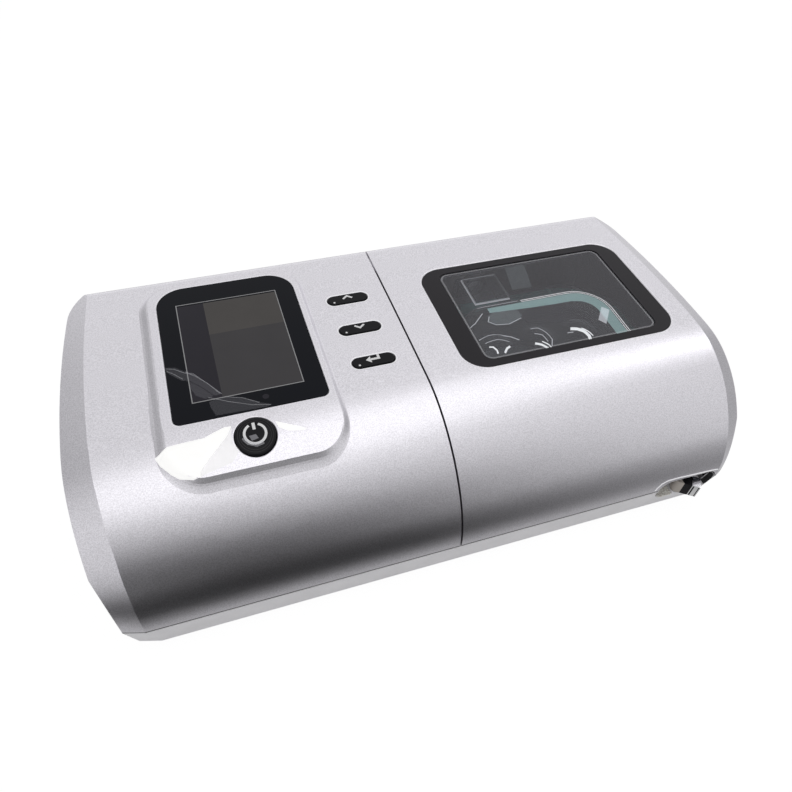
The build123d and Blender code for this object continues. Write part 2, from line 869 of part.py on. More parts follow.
def make_buttons():
    buttons = {}
    for name, x, y in key_places():
        flange_top = skin_top(y) - skin - button_float
        face = stadium(x, y, key_length, key_width)
        wide = stadium(x, y, key_length + 2 * button_flange, key_width + 2 * button_flange)
        buttons[name] = make_button(face, wide, x, y, skin_top(y) + key_proud, flange_top, 0.5)
    buttons["power_button"] = make_power_button()
    return buttons


def make_display_board():
    x0 = display_board_left
    y0 = display_board_front
    x1 = x0 + display_board_length
    y1 = y0 + display_board_width
    board = block(x0, x1, y0, y1, display_board_top - board_thick, display_board_top)
    board = fillet(board.edges().filter_by(Axis.Z), 2.5)
    screws = []
    for x, y in display_posts():
        board = board - rod(x, y, display_board_top - 3, display_board_top + 1, small_screw_radius + 0.1)
        low = display_board_top - board_thick
        screw = rod(x, y, low - 1.6, low, small_screw_head) + rod(x, y, low, low + 6, small_screw_radius)
        screws.append(screw)
    switches = []
    for x, y in [(power_x, power_y)] + [(x, y) for _, x, y in key_places()]:
        half = switch_size / 2
        low = display_board_top
        body = block(x - half, x + half, y - half, y + half, low, low + switch_height - 0.8)
        switches.append(body + rod(x, y, low + 1, low + switch_height, 1.7))
    return board, Compound(children=screws), Compound(children=switches)


def make_membrane():
    """Silicone sheet round the three key stems, lying on the display board."""
    margin = 6.0
    places = key_places()
    y0 = places[0][2] - key_width / 2 - margin
    y1 = places[-1][2] + key_width / 2 + margin
    sheet = rounded(key_x - 9, key_x + 5.5, y0, y1, (2, 2, 2, 2))
    mat = plate(sheet, display_board_top, display_board_top + 0.8)
    for _, x, y in places:
        half = switch_size / 2 + 0.4
        low = display_board_top
        mat = mat + block(x - half - 1, x + half + 1, y - half - 1, y + half + 1, low, low + 2.4)
        mat = mat - block(x - half, x + half, y - half, y + half, low - 1, low + 3)
    return mat


# --- main circuit board ---
def make_main_board():
    x0, y0 = main_board_left, main_board_front
    top = main_board_z + board_thick
    board = block(x0, x0 + main_board_length, y0, y0 + main_board_width, main_board_z, top)
    screws = []
    for x, y in board_posts():
        board = board - rod(x, y, main_board_z - 1, top + 1, small_screw_radius + 0.1)
        head = rod(x, y, top, top + 1.6, small_screw_head)
        screws.append(head + rod(x, y, top - 5, top, small_screw_radius))
    parts = []
    for index in range(3):
        x = x0 + 14 + index * 12
        parts.append(rod(x, y0 + main_board_width - 16, top, top + 16, 4.6))
    transformer = block(x0 + 12, x0 + 34, y0 + 58, y0 + 80, top, top + 15)
    transformer = chamfer(transformer.edges().group_by(Axis.Z)[-1], 1.5)
    parts.append(transformer)
    parts.append(block(x0 + 10, x0 + 24, y0 + 34, y0 + 48, top, top + 2))
    parts.append(block(x0 + 32, x0 + 44, y0 + 20, y0 + 26, top, top + 7))
    fins = block(x0 + 28, x0 + 46, y0 + 36, y0 + 50, top, top + 2)
    for index in range(5):
        x = x0 + 28 + index * 4
        fins = fins + block(x, x + 2, y0 + 36, y0 + 50, top, top + 10)
    parts.append(fins)
    return board, Compound(children=screws), Compound(children=parts)


# --- blower ---
def scroll_outline(extra):
    """Plan of the scroll: a spiral that widens clockwise and leaves along +X."""
    points = []
    steps = 12
    start = 55.0
    for step in range(steps + 1):
        turn = step / steps
        angle = radians(start - turn * (360 - (90 - start)))
        reach = scroll_start + scroll_growth * turn + extra
        points.append((blower_x + reach * cos(angle), blower_y + reach * sin(angle)))
    with BuildSketch() as spiral:
        with BuildLine():
            Spline(*points)
            Line(points[-1], points[0])
        make_face()
    width = scroll_outlet + 2 * extra
    length = scroll_exit_x() - blower_x
    middle = (blower_x + length / 2, channel_low() + scroll_outlet / 2)
    return spiral.sketch + Pos(*middle) * Rectangle(length, width)


def scroll_exit_x():
    return left_edge - skin - 13


def make_blower():
    wall = blower_wall
    low, high = blower_bottom, blower_bottom + blower_height
    middle = high - wall - 0.4
    shell = plate(scroll_outline(wall), low, middle)
    hollow = plate(scroll_outline(0), low + wall, high)
    exit_cut = block(
        scroll_exit_x() - 4, scroll_exit_x() + 1, channel_low(), channel_low() + scroll_outlet,
        low + wall, high,
    )
    base = shell - hollow - exit_cut
    base = base - rod(blower_x, blower_y, low - 1, low + wall + 1, shaft_radius + 1.2)
    cover = plate(scroll_outline(wall), middle, high)
    cover = cover - rod(blower_x, blower_y, middle - 1, high + 1, eye_radius)
    ring = rod(blower_x, blower_y, high - 0.2, high + 2.5, eye_radius + 1.6)
    cover = cover + (ring - rod(blower_x, blower_y, high - 1, high + 3, eye_radius))
    feet = []
    for angle in (30, 150, 270):
        x = blower_x + 20 * cos(radians(angle))
        y = blower_y + 20 * sin(radians(angle))
        feet.append(rod(x, y, floor_z, low, mount_radius) - rod(x, y, floor_z - 1, low + 1, 1.5))
    motor = rod(blower_x, blower_y, motor_bottom, low, motor_radius)
    motor = fillet(motor.edges().group_by(Axis.Z)[0], 2)
    motor = motor - rod(blower_x, blower_y, motor_bottom + 3, low + 1, shaft_radius + running_fit)
    return base, cover, motor, Compound(children=feet)


def channel_low():
    """Front wall of the outlet channel, inside."""
    return blower_y + scroll_start + scroll_growth - scroll_outlet


def make_impeller():
    """Backward-curved blades on a disc, with a coned hub on the motor shaft."""
    disc_low = blower_bottom + blower_wall + 2.2
    disc = rod(blower_x, blower_y, disc_low, disc_low + impeller_disc, impeller_radius)
    with BuildSketch(Plane.XZ) as half:
        with BuildLine():
            Polyline(
                (shaft_radius, disc_low),
                (hub_radius + 3, disc_low),
                (hub_radius + 3, disc_low + impeller_disc),
                (hub_radius, disc_low + 5),
                (hub_radius - 1.5, disc_low + 9),
                (shaft_radius, disc_low + 9),
                close=True,
            )
        make_face()
    hub = Pos(blower_x, blower_y, 0) * revolve(half.sketch, Axis.Z)
    wheel = disc + hub
    tip = impeller_radius - 0.4
    mid = (blade_root + tip) / 2
    sweep_angle = radians(blade_sweep)
    root_point = (blade_root, 0)
    mid_point = (mid * cos(sweep_angle * 0.38), mid * sin(sweep_angle * 0.38))
    tip_point = (tip * cos(sweep_angle), tip * sin(sweep_angle))
    with BuildSketch() as blade_face:
        with BuildLine() as blade_line:
            ThreePointArc(root_point, mid_point, tip_point)
        trace(blade_line.line, blade_thick)
    blade = plate(blade_face.sketch, disc_low + impeller_disc - 0.2, disc_low + impeller_disc + blade_height)
    for index in range(blade_count):
        turned = Pos(blower_x, blower_y, 0) * Rot(0, 0, index * 360 / blade_count) * blade
        wheel = wheel + turned
    wheel = wheel - rod(blower_x, blower_y, disc_low - 1, disc_low + 20, shaft_radius)
    shaft = rod(blower_x, blower_y, motor_bottom + 4, disc_low + 8, shaft_radius)
    return wheel, shaft


def make_outlet_duct():
    """Silicone duct from the scroll's square exit up to the round port in the bulkhead."""
    start_x = scroll_exit_x() + 0.2
    neck_x = left_edge - skin - 1.6
    middle = (channel_low() + scroll_outlet / 2, blower_bottom + blower_height / 2)
    start = Plane(origin=(start_x, *middle), x_dir=(0, 1, 0), z_dir=(1, 0, 0))
    end = Plane(origin=(neck_x, port_y, port_z), x_dir=(0, 1, 0), z_dir=(1, 0, 0))
    side = scroll_outlet + 2 * blower_wall
    outer = loft([start * Circle(side / 2), end * Circle(port_radius + port_wall)])
    inner = loft(
        [start.offset(-0.1) * Circle(scroll_outlet / 2), end.offset(0.1) * Circle(port_radius)]
    )
    foot = start * RectangleRounded(side, side, 2) - start * Circle(scroll_outlet / 2)
    outer = outer + extrude(foot, 1.2)
    neck = across(port_y, port_z, neck_x, bay_left + 0.1, port_radius + port_wall)
    return outer + neck - inner - across(port_y, port_z, neck_x - 0.1, bay_left + 1, port_radius)


# --- rear pieces of the left half ---
def make_jack():
    body = rearward(jack_x, jack_z, rear_y - jack_depth, rear_y, jack_outer)
    body = body + rearward(jack_x, jack_z, rear_y - jack_depth, rear_y - skin - 0.1, jack_outer + 1.5)
    body = body - rearward(jack_x, jack_z, rear_y - jack_depth + 2, rear_y + 1, jack_bore)
    return body + rearward(jack_x, jack_z, rear_y - jack_depth + 1, rear_y - 2, jack_pin)


def make_filter():
    gap = 0.3
    x0, x1 = filter_x - filter_length / 2 + gap, filter_x + filter_length / 2 - gap
    z0, z1 = filter_z - filter_width / 2 + gap, filter_z + filter_width / 2 - gap
    foam = block(x0, x1, rear_y - filter_depth, rear_y - 3.6, z0, z1)
    cover = block(x0, x1, rear_y - 3.0, rear_y, z0, z1)
    cover = fillet(cover.edges().group_by(Axis.Y)[-1], 0.8)
    cover = cover - block(x0 + 1.6, x1 - 1.6, rear_y - 4, rear_y - 1.6, z0 + 1.6, z1 - 1.6)
    pitch = (z1 - z0 - 4) / filter_slats
    for slat in range(filter_slats):
        z = z0 + 2 + pitch * (slat + 0.5)
        cover = cover - block(x0 + 4, x1 - 4, rear_y - 4, rear_y + 1, z - pitch * 0.27, z + pitch * 0.27)
    return foam, cover


# --- lid with its window ---
def window_outline(grow=0.0):
    r = window_corner + grow
    return rounded(
        window_left - grow,
        window_left + window_length + grow,
        window_front - grow,
        window_front + window_width + grow,
        (r, r, r, r),
    )


def view_outline(grow_x=0.0, grow_y=0.0):
    """The clear opening inside the black border."""
    r = bezel_inner_corner + min(grow_x, grow_y)
    return rounded(
        window_left + bezel_side - grow_x,
        window_left + window_length - bezel_right + grow_x,
        window_front + bezel_end - grow_y,
        window_front + window_width - bezel_end + grow_y,
        (r, r, r, r),
    )


def make_lid():
    room = block(right_edge, half_length + 1, front_y - 1, rear_y + 1, casing_low, top_height + 5)
    lid = (outer_form & room) - inner_form
    # window: a thicker ring below the skin, a recess for the bezel and the opening
    bezel_floor = top_height - bezel_thick - 0.2
    ring = plate(window_outline(3.5), bezel_floor - 3, top_height - skin / 2)
    lid = lid + (ring & body_form_thin)
    lid = lid - on_window(plate(window_outline(bezel_gap), bezel_floor, top_height + 2))
    lid = lid - on_window(plate(view_outline(4.2, 1.8), bezel_floor - 6, top_height))
    # rib along the seam
    rib_rear = hinge_y - rear_radius - 4
    rib_room = block(right_edge, right_edge + 2, front_y - 1, rib_rear, casing_low, top_height + 5)
    lid = lid + ((body_form_thin & rib_room) - body_form(9.0))
    # the rear wall belongs to the bay, so the lid ends at its hinge line
    lid = lid - block(0, half_length + 5, hinge_y, rear_y + 5, 0, hinge_z)
    for x in hinge_x_positions:
        half = hinge_width / 2
        knuckle = across(hinge_y, hinge_z, x - half, x + half, rear_radius - skin + 0.2)
        lid = lid + knuckle
        lid = lid - across(
            hinge_y, hinge_z, x - hinge_width, x + hinge_width, hinge_pin_radius + running_fit
        )
    lid = lid - recess_cut()
    recess_rim = edges_inside(
        lid, recess_left - 0.5, recess_right + 0.5, front_y - 0.1, front_y + 3,
        casing_low + 0.1, recess_high + 0.5,
    )
    lid = fillet(recess_rim, recess_round)
    half = bezel_gap + 0.05
    rim = edges_inside(
        lid, window_left - half, window_left + window_length + half, window_front - half,
        window_front + window_width + half, top_height - 1.6, top_height + 1,
    )
    return fillet(rim, 0.6)


def make_bezel():
    floor = top_height - bezel_thick - 0.2
    bezel = plate(window_outline(), floor, floor + bezel_thick)
    bezel = bezel - plate(view_outline(), floor - 1, top_height + 1)
    return on_window(bezel)


def make_lens():
    floor = top_height - bezel_thick - 0.2
    flange = plate(view_outline(4.0, 1.6), floor - lens_flange, floor)
    face = plate(view_outline(-0.15, -0.15), floor - 0.2, floor + bezel_thick - lens_sunk)
    return on_window(flange + face)


# --- humidifier bay ---
def right_of(x):
    return block(x, half_length + 5, front_y - 5, rear_y + 5, -5, top_height + 20)


def make_bay():
    """The tub that holds the tank, with the bulkhead beside the seam."""
    room = block(0, half_length + 5, bay_front, web_y, -5, top_height + 20)
    inside = block(0, half_length + 5, bay_front + bay_wall, web_y - bay_wall, -5, top_height + 20)
    tub = plate(plan_outline(bay_inset), bay_floor, bay_height) & right_of(bulkhead_x) & room
    hollow = plate(plan_outline(bay_inset + bay_wall), bay_floor + bay_wall, top_height)
    tub = tub - (hollow & right_of(bay_left) & inside)
    high = block(bulkhead_x, bay_left, bay_front, hinge_y - 9, bay_floor, top_height)
    low = block(bulkhead_x, bay_left, bay_front, web_y, bay_floor, hinge_z - 9)
    bay = tub + (body_form(skin + 1.4) & (high + low))
    behind = block(
        recess_left - 4, recess_right - 3, bay_front, bay_front + bay_wall,
        bay_floor, recess_high + recess_wall_over,
    )
    bay = bay + (body_form(skin + 1.4) & behind & plate(plan_outline(bay_inset), 0, top_height))
    bay = bay - across(port_y, port_z, bulkhead_x - 1, bay_left + 1, port_radius + port_wall + 0.3)
    return bay - rod(heater_x(), heater_y(), bay_floor - 1, bay_floor + bay_wall + 1, heater_radius - 3)


def make_hinge_wall():
    """Rear wall under the lid's nose, with the gutter and ears that the lid turns on."""
    gutter = rear_radius + nose_gap
    wall_top = hinge_z - gutter
    right_end = hinge_wall_end
    rear_room = block(right_edge, half_length + 1, hinge_y + nose_gap, rear_y + 1, casing_low, wall_top)
    wall = (outer_form & rear_room) - inner_form
    web = block(bulkhead_x, right_end, web_y, web_y + bay_wall + 0.3, bay_floor, wall_top)
    wall = wall + (web & plate(plan_outline(bay_inset - 0.4), 0, top_height))
    for z in (casing_low, wall_top - gutter_wall):
        ledge = block(bulkhead_x, right_end, web_y, rear_y - 1, z, z + gutter_wall)
        wall = wall + (ledge & plate(plan_outline(1), 0, top_height))
    for x in (bulkhead_x + 1, hinge_left_x - 4, right_end * 0.67, right_end - 18):
        wall = wall + block(x - 1, x + 1, web_y + bay_wall, rear_y - 1, casing_low, wall_top)
    trough = across(hinge_y, hinge_z, bulkhead_x, right_end, gutter + gutter_wall)
    trough = trough - across(hinge_y, hinge_z, 0, half_length, gutter)
    wall = wall + (trough & block(0, half_length, hinge_y - 20, hinge_y + 0.1, 0, hinge_z))
    for x in hinge_x_positions:
        for side in (-1, 1):
            centre = x + side * (hinge_width / 2 + 0.3 + ear_width / 2)
            x0, x1 = centre - ear_width / 2, centre + ear_width / 2
            arm = block(x0, x1, -gutter - 0.5, 0, -hinge_arm / 2, hinge_arm / 2)
            wall = wall + across(hinge_y, hinge_z, x0, x1, hinge_barrel)
            wall = wall + Pos(0, hinge_y, hinge_z) * Rot(45, 0, 0) * arm
            wall = wall - across(hinge_y, hinge_z, x0 - 0.1, x1 + 0.1, hinge_pin_radius + 0.02)
    return wall - rearward(outlet_x, outlet_z, hinge_y - 12, rear_y + 1, outlet_radius + 0.1)


def heater_x():
    return (bay_left + half_length - bay_inset - bay_wall) / 2


def heater_y():
    return tank_front() + tank_depth() / 2


def tank_front():
    return bay_front + bay_wall + tank_gap


def tank_depth():
    return rear_y - tank_rear_inset - tank_front()


def tank_outline(inset=0.0):
    """Plan of the tank: square shoulders by the bulkhead, a wide round towards the end."""
    left = tank_corner_left - inset
    right = tank_corner_right - inset
    return rounded(
        bay_left + tank_gap + inset,
        half_length - bay_inset - bay_wall - 5.5 - inset,
        tank_front() + inset,
        tank_front() + tank_depth() - inset,
        (left, right, right, left),
    )


def dome_outline(inset=0.0):
    r = dome_corner - inset
    return rounded(
        dome_left + inset,
        dome_right - inset,
        tank_front() + 6 + inset,
        rear_y - dome_rear_inset - inset,
        (r * 0.7, r, r, r * 0.7),
    )


def make_heater():
    rest = bay_floor + bay_wall
    disc = rod(heater_x(), heater_y(), rest, bay_floor + heater_height, heater_radius)
    disc = disc + rod(heater_x(), heater_y(), rest - 0.8, rest + 0.1, heater_radius - 5)
    pads = []
    for angle in (90, 210, 330):
        x = heater_x() + 30 * cos(radians(angle))
        y = heater_y() + 30 * sin(radians(angle))
        pads.append(rod(x, y, floor_z, rest - 0.8, 4.0))
    return disc, Compound(children=pads)


def make_tank():
    """Tub with a metal heat plate in its floor, the soft gasket, and the clear cover."""
    tub = plate(tank_outline(2.0), tank_bottom, tank_rim)
    tub = fillet(tub.edges().group_by(Axis.Z)[0], 4)
    tub = tub + plate(tank_outline(0), tank_rim - 2.4, tank_rim)
    hollow = plate(tank_outline(2.0 + tank_wall), tank_bottom + tank_wall, tank_rim + 1)
    tub = tub - fillet(hollow.edges().group_by(Axis.Z)[0], 2.5)
    window = rod(heater_x(), heater_y(), tank_bottom - 1, tank_bottom + tank_wall + 1, heater_radius - 1)
    tub = tub - window
    low = tank_bottom - tank_plate_drop
    metal = rod(heater_x(), heater_y(), low, tank_bottom + 0.6, heater_radius - 1.2)
    inside = tank_bottom + tank_wall
    metal = metal + rod(heater_x(), heater_y(), inside, inside + 0.6, heater_radius + 2)
    metal = metal + rod(heater_x(), heater_y(), tank_bottom, inside + 0.1, heater_radius - 1.2)
    gasket = plate(tank_outline(1.2) - tank_outline(1.2 + gasket_width), tank_rim, tank_rim + gasket_height)
    return tub, metal, gasket


def make_tank_cover():
    low = tank_rim + gasket_height
    wall = tank_wall
    clear_form = body_form(skin + 4.0)
    flange = plate(tank_outline(0.4), low, low + flange_thick)
    dome = plate(dome_outline(), low, dome_top)
    dome = fillet(dome.edges().group_by(Axis.Z)[-1], dome_round)
    inner = plate(dome_outline(wall), low - 1, dome_top - wall)
    inner = fillet(inner.edges().group_by(Axis.Z)[-1], dome_round - wall)
    # outlet channel towards the rear, and inlet tube from the bulkhead
    channel_half = outlet_bore + 4.0
    rear_end = rear_y - tank_rear_inset + 6.5
    channel = block(
        outlet_x - channel_half, outlet_x + channel_half, rear_y - dome_rear_inset - 8, rear_end,
        low, low + 12.5,
    )
    channel = fillet(channel.edges().filter_by(Axis.Y).group_by(Axis.Z)[-1], 3)
    tube = across(port_y, port_z, bay_left + 0.5 + seal_height, dome_left + 4, port_radius + port_wall)
    cover = flange + dome + channel + tube
    cover = cover & (clear_form + block(0, half_length, front_y, rear_y, low - 1, low + flange_thick))
    for index in range(3):
        x = bump_first_x + index * bump_pitch
        y = front_y + bump_front_inset
        radius = (bump_radius**2 + bump_height**2) / (2 * bump_height)
        ball = Pos(x, y, dome_top + bump_height - radius) * Sphere(radius)
        cover = cover + (ball & rod(x, y, dome_top - 1.0, dome_top + bump_height + 1, bump_radius))
    # moulded frame on the channel's roof
    roof = low + 12.5
    frame_front = rear_y - dome_rear_inset + 4
    frame = block(outlet_x - 10, outlet_x + 10, frame_front, rear_end - 2.5, roof - 0.3, roof + 0.9)
    frame = frame - block(
        outlet_x - 10 + panel_wall,
        outlet_x + 10 - panel_wall,
        rear_y - dome_rear_inset + 4 + panel_wall,
        rear_end - 2.5 - panel_wall,
        roof - 1,
        roof + 2,
    )
    cover = cover + frame
    cover = cover - (inner & body_form(skin + 4.0 + wall))
    cover = cover - block(
        outlet_x - channel_half + wall,
        outlet_x + channel_half - wall,
        rear_y - dome_rear_inset - 14,
        rear_end - wall,
        low - 1,
        roof - wall,
    )
    cover = cover - rearward(outlet_x, low + 4.5, rear_end - 4, rear_end + 1, 5.5)
    cover = cover - across(port_y, port_z, bay_left, dome_left + 6, port_radius)
    return cover


def make_seals():
    """Soft rings between the fixed ports and the tank's."""
    seal_end = bay_left + 0.2 + seal_height
    inlet = across(port_y, port_z, bay_left + 0.1, seal_end, port_radius + port_wall + 0.9)
    inlet = inlet - across(port_y, port_z, bay_left - 1, bay_left + 5, port_radius)
    start = rear_y - tank_rear_inset + 6.5 + 0.3
    low = tank_rim + gasket_height + 4.5
    ring = rearward(outlet_x, low, start, start + 3, 7.5)
    ring = ring - rearward(outlet_x, low, start - 1, start + 4, 5.5)
    return inlet, ring


def make_hose_outlet():
    """22 mm spigot with its flange, and the inner branch that meets the tank's outlet."""
    start = rear_y - tank_rear_inset + 6.5 + 3.4
    spigot = rearward(outlet_x, outlet_z, start + 1, rear_y + outlet_reach, outlet_radius)
    spigot = fillet(spigot.edges().group_by(Axis.Y)[-1], 0.8)
    flange = rearward(outlet_x, outlet_z, rear_y + 0.05, rear_y + outlet_flange_thick, outlet_flange)
    back = rearward(outlet_x, outlet_z, start, start + 2, outlet_radius)
    outlet = spigot + flange + back
    outlet = outlet - rearward(outlet_x, outlet_z, start + 2, rear_y + outlet_reach + 1, outlet_bore)
    return outlet - rearward(outlet_x, tank_rim + gasket_height + 4.5, start - 1, start + 3, 5.2)


# --- latch at the lower front right ---
def make_latch():
    """A short lever on an upright pin, standing half out of its recess, with a bright hollow end."""
    pivot_y = front_y + lever_pivot_inset
    low = lever_z()
    trim_start = lever_length - trim_length
    arm = block(-2.8, trim_start - 0.1, -lever_thick / 2, lever_thick / 2, 0, lever_height)
    arm = fillet(arm.edges().filter_by(Axis.Z).group_by(Axis.X)[0], 2.6)
    arm = arm - rod(0, 0, -1, lever_height + 1, latch_pin_radius + running_fit)
    trim = block(trim_start, lever_length, -lever_thick / 2, lever_thick / 2, 0, lever_height)
    trim = trim - block(
        trim_start + trim_wall,
        lever_length + 1,
        -lever_thick / 2 + trim_wall,
        lever_thick / 2 - trim_wall,
        trim_wall,
        lever_height - trim_wall,
    )
    place = Pos(lever_pivot_x, pivot_y, low) * Rot(0, 0, -lever_angle)
    pin = rod(lever_pivot_x, pivot_y, recess_low - 0.5, low + lever_height + 1.0, latch_pin_radius)
    face = recess_cut() & block(
        recess_left - 1, recess_left + 11.8, front_y + 1.2, front_y + recess_depth + 1,
        recess_low - 1, recess_low + 0.9,
    )
    return place * arm, place * trim, pin, face


os.makedirs("parts", exist_ok=True)
save(make_tray(), "base_tray")
save(make_feet(), "rubber_feet")
save(make_tray_screws(), "tray_screws")
save(make_main_housing(), "main_housing")
save(make_display_window(), "display_window")
lcd_frame, lcd_panel = make_lcd()
save(lcd_frame, "lcd_frame")
save(lcd_panel, "lcd_panel")
for button_name, button in make_buttons().items():
    save(button, button_name)
display_board, display_screws, switches = make_display_board()
save(display_board, "display_board")
save(display_screws, "display_board_screws")
save(switches, "button_switches")
save(make_membrane(), "keypad_membrane")
main_board, main_screws, components = make_main_board()
save(main_board, "main_board")
save(main_screws, "main_board_screws")
save(components, "board_components")
blower_base, blower_cover, motor, blower_mounts = make_blower()
save(blower_base, "blower_base")
save(blower_cover, "blower_cover")
save(motor, "blower_motor")
save(blower_mounts, "blower_mounts")
impeller, shaft = make_impeller()
save(impeller, "blower_impeller")
save(shaft, "motor_shaft")
save(make_outlet_duct(), "outlet_duct")
save(make_jack(), "power_jack")
filter_foam, filter_cover = make_filter()
save(filter_foam, "filter_foam")
save(filter_cover, "filter_cover")
save(make_lid(), "humidifier_lid")
save(make_bezel(), "window_bezel")
save(make_lens(), "window_lens")
save(make_bay(), "humidifier_bay")
save(make_hinge_wall(), "hinge_wall")
heater, heater_pads = make_heater()
save(heater, "heater_plate")
save(heater_pads, "heater_pads")
tank_base, tank_heat_plate, tank_gasket = make_tank()
save(tank_base, "tank_base")
save(tank_heat_plate, "tank_heat_plate")
save(tank_gasket, "tank_gasket")
save(make_tank_cover(), "tank_cover")
inlet_seal, outlet_seal = make_seals()
save(inlet_seal, "inlet_seal")
save(outlet_seal, "outlet_seal")
save(make_hose_outlet(), "hose_outlet")
lever, lever_trim, latch_pin, latch_plate = make_latch()
save(lever, "latch_lever")
save(lever_trim, "latch_trim")
save(latch_pin, "latch_pin")
save(latch_plate, "latch_plate")
pin_half = hinge_width / 2 + ear_width
pins = [
    across(hinge_y, hinge_z, x - pin_half, x + pin_half, hinge_pin_radius)
    for x in hinge_x_positions
]
save(Compound(children=pins), "hinge_pins")
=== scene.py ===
import math
import bmesh
import bpy
from mathutils import Matrix, Vector
from mathutils.bvhtree import BVHTree


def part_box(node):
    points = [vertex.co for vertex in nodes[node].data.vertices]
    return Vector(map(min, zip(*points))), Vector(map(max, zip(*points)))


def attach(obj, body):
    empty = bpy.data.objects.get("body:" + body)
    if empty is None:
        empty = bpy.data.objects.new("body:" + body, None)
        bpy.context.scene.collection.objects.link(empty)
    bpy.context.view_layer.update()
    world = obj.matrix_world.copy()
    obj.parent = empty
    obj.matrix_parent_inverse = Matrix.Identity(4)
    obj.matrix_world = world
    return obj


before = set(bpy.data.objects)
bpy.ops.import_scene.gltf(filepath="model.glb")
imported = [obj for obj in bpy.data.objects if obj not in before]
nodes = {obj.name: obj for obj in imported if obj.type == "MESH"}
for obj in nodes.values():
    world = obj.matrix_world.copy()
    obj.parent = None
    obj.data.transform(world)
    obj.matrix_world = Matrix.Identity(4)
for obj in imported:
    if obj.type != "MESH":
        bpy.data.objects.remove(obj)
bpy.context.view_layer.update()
print("frame loaded,", len(nodes), "nodes")


# shader and mesh helpers

def feed(tree, value, socket):
    # a plain number is set, anything else is linked
    if isinstance(value, float):
        socket.default_value = value
    else:
        tree.links.new(value, socket)


def addMath(tree, operation, first, second, clamp=False):
    node = tree.nodes.new("ShaderNodeMath")
    node.operation = operation
    node.use_clamp = clamp
    for value, socket in zip((first, second), node.inputs):
        feed(tree, value, socket)
    return node.outputs[0]


def addRange(tree, value, span, low, high):
    # low before the span, high after it, a blend in between
    node = tree.nodes.new("ShaderNodeMapRange")
    tree.links.new(value, node.inputs["Value"])
    for key, amount in zip(("From Min", "From Max", "To Min", "To Max"), (*span, low, high)):
        feed(tree, amount, node.inputs[key])
    return node.outputs[0]


def addMix(tree, share, first, second):
    mix = tree.nodes.new("ShaderNodeMixShader")
    for value, socket in zip((share, first, second), mix.inputs):
        feed(tree, value, socket)
    return mix.outputs[0]


def addGlow(tree, strength):
    glow = tree.nodes.new("ShaderNodeEmission")
    feed(tree, strength, glow.inputs["Strength"])
    return glow.outputs[0]


def addParts(tree, source):
    # X, Y and Z of a place or a direction
    place = tree.nodes.new("ShaderNodeTexCoord")
    parts = tree.nodes.new("ShaderNodeSeparateXYZ")
    tree.links.new(place.outputs[source], parts.inputs[0])
    return parts.outputs


def showShader(tree, result):
    tree.links.new(result, tree.nodes["Material Output"].inputs["Surface"])


socketNames = {
    "metal": "Metallic",
    "coat": "Coat Weight",
    "coatRough": "Coat Roughness",
    "spec": "Specular IOR Level",
    "bend": "IOR",
}


def newFinish(name, color, rough, **more):
    finish = bpy.data.materials.new(name)
    finish.use_nodes = True
    shader = finish.node_tree.nodes["Principled BSDF"]
    shader.inputs["Base Color"].default_value = (*color, 1)
    shader.inputs["Roughness"].default_value = rough
    for key, value in more.items():
        shader.inputs[socketNames[key]].default_value = value
    return finish, finish.node_tree, shader


def placeMesh(bm, name, finish):
    mesh = bpy.data.meshes.new(name)
    bm.to_mesh(mesh)
    bm.free()
    mesh.materials.append(finish)
    piece = bpy.data.objects.new(name, mesh)
    bpy.context.scene.collection.objects.link(piece)
    return piece


# camera, floor and lamps

cameraSetup = {
    "place": (-0.086568, -0.215313, 0.289933),
    "yaw": 21.651,      # degrees, towards the right-hand end
    "pitch": 48.477,    # looking down
    "roll": 4.625,
    "lens": 30.524,
    "sensor": 36,
    "clip": (0.01, 30),
}

studio = {
    "floorSize": 6.0,
    "floorColor": (0.9, 0.9, 0.91),
    "floorRough": 0.8,
    "plainShare": 0.9,      # share of the floor that is plain white, the rest is lit
    "plainLevel": 1.06,
    # how bright shiny things see the room
    "floorInMirrors": (0.0, 0.35, 0.6, 0.6),    # far left, far right, near, side
    "skyInMirrors": 0.84,
    "wallInMirrors": (0.01, 0.95, 1.15),        # front left, front right, rear
    "sideInMirrors": (0.9, 0.46, 0.42),         # left wall's front and rear part, far right
    # where one level passes into the next on the floor, metres
    "floorAcross": (0.0, 0.25),
    "floorNear": (-0.125, -0.095),
    "floorSide": (-0.36, -0.2),
    # and on the walls, by the direction looked in
    "frontAcross": (0.15, 0.6),
    "frontUp": (0.36, 0.8),
    "rearUp": (0.15, 0.5),
    "frontToRear": (-0.35, 0.25),
    "leftEnd": (-0.6, -0.35),
    "rightEnd": (0.75, 0.92),
    "worldLevel": 0.5,
    "keySize": (2.0, 0.9),
    "keyPlace": (0.24, -0.04, 1.5),
    "keyTurn": 38.0,        # its right-hand end swings towards the rear
    "keyPower": 3.9,
}

glare = {
    # corners of a small card, metres, and how bright shiny things see it
    "corners": ((0.680, 0.231, 0.852), (0.795, 0.192, 0.808), (0.795, -0.058, 0.838)),
    "level": 8.0,
}


def addCamera():
    data = bpy.data.cameras.new("viewCamera")
    data.lens = cameraSetup["lens"]
    data.sensor_width = cameraSetup["sensor"]
    data.clip_start, data.clip_end = cameraSetup["clip"]
    viewCamera = bpy.data.objects.new("viewCamera", data)
    bpy.context.scene.collection.objects.link(viewCamera)
    turn = Matrix.Rotation(math.radians(-cameraSetup["yaw"]), 4, "Z")
    turn = turn @ Matrix.Rotation(math.radians(90 - cameraSetup["pitch"]), 4, "X")
    turn = turn @ Matrix.Rotation(math.radians(cameraSetup["roll"]), 4, "Z")
    viewCamera.matrix_world = Matrix.Translation(cameraSetup["place"]) @ turn
    bpy.context.scene.camera = viewCamera


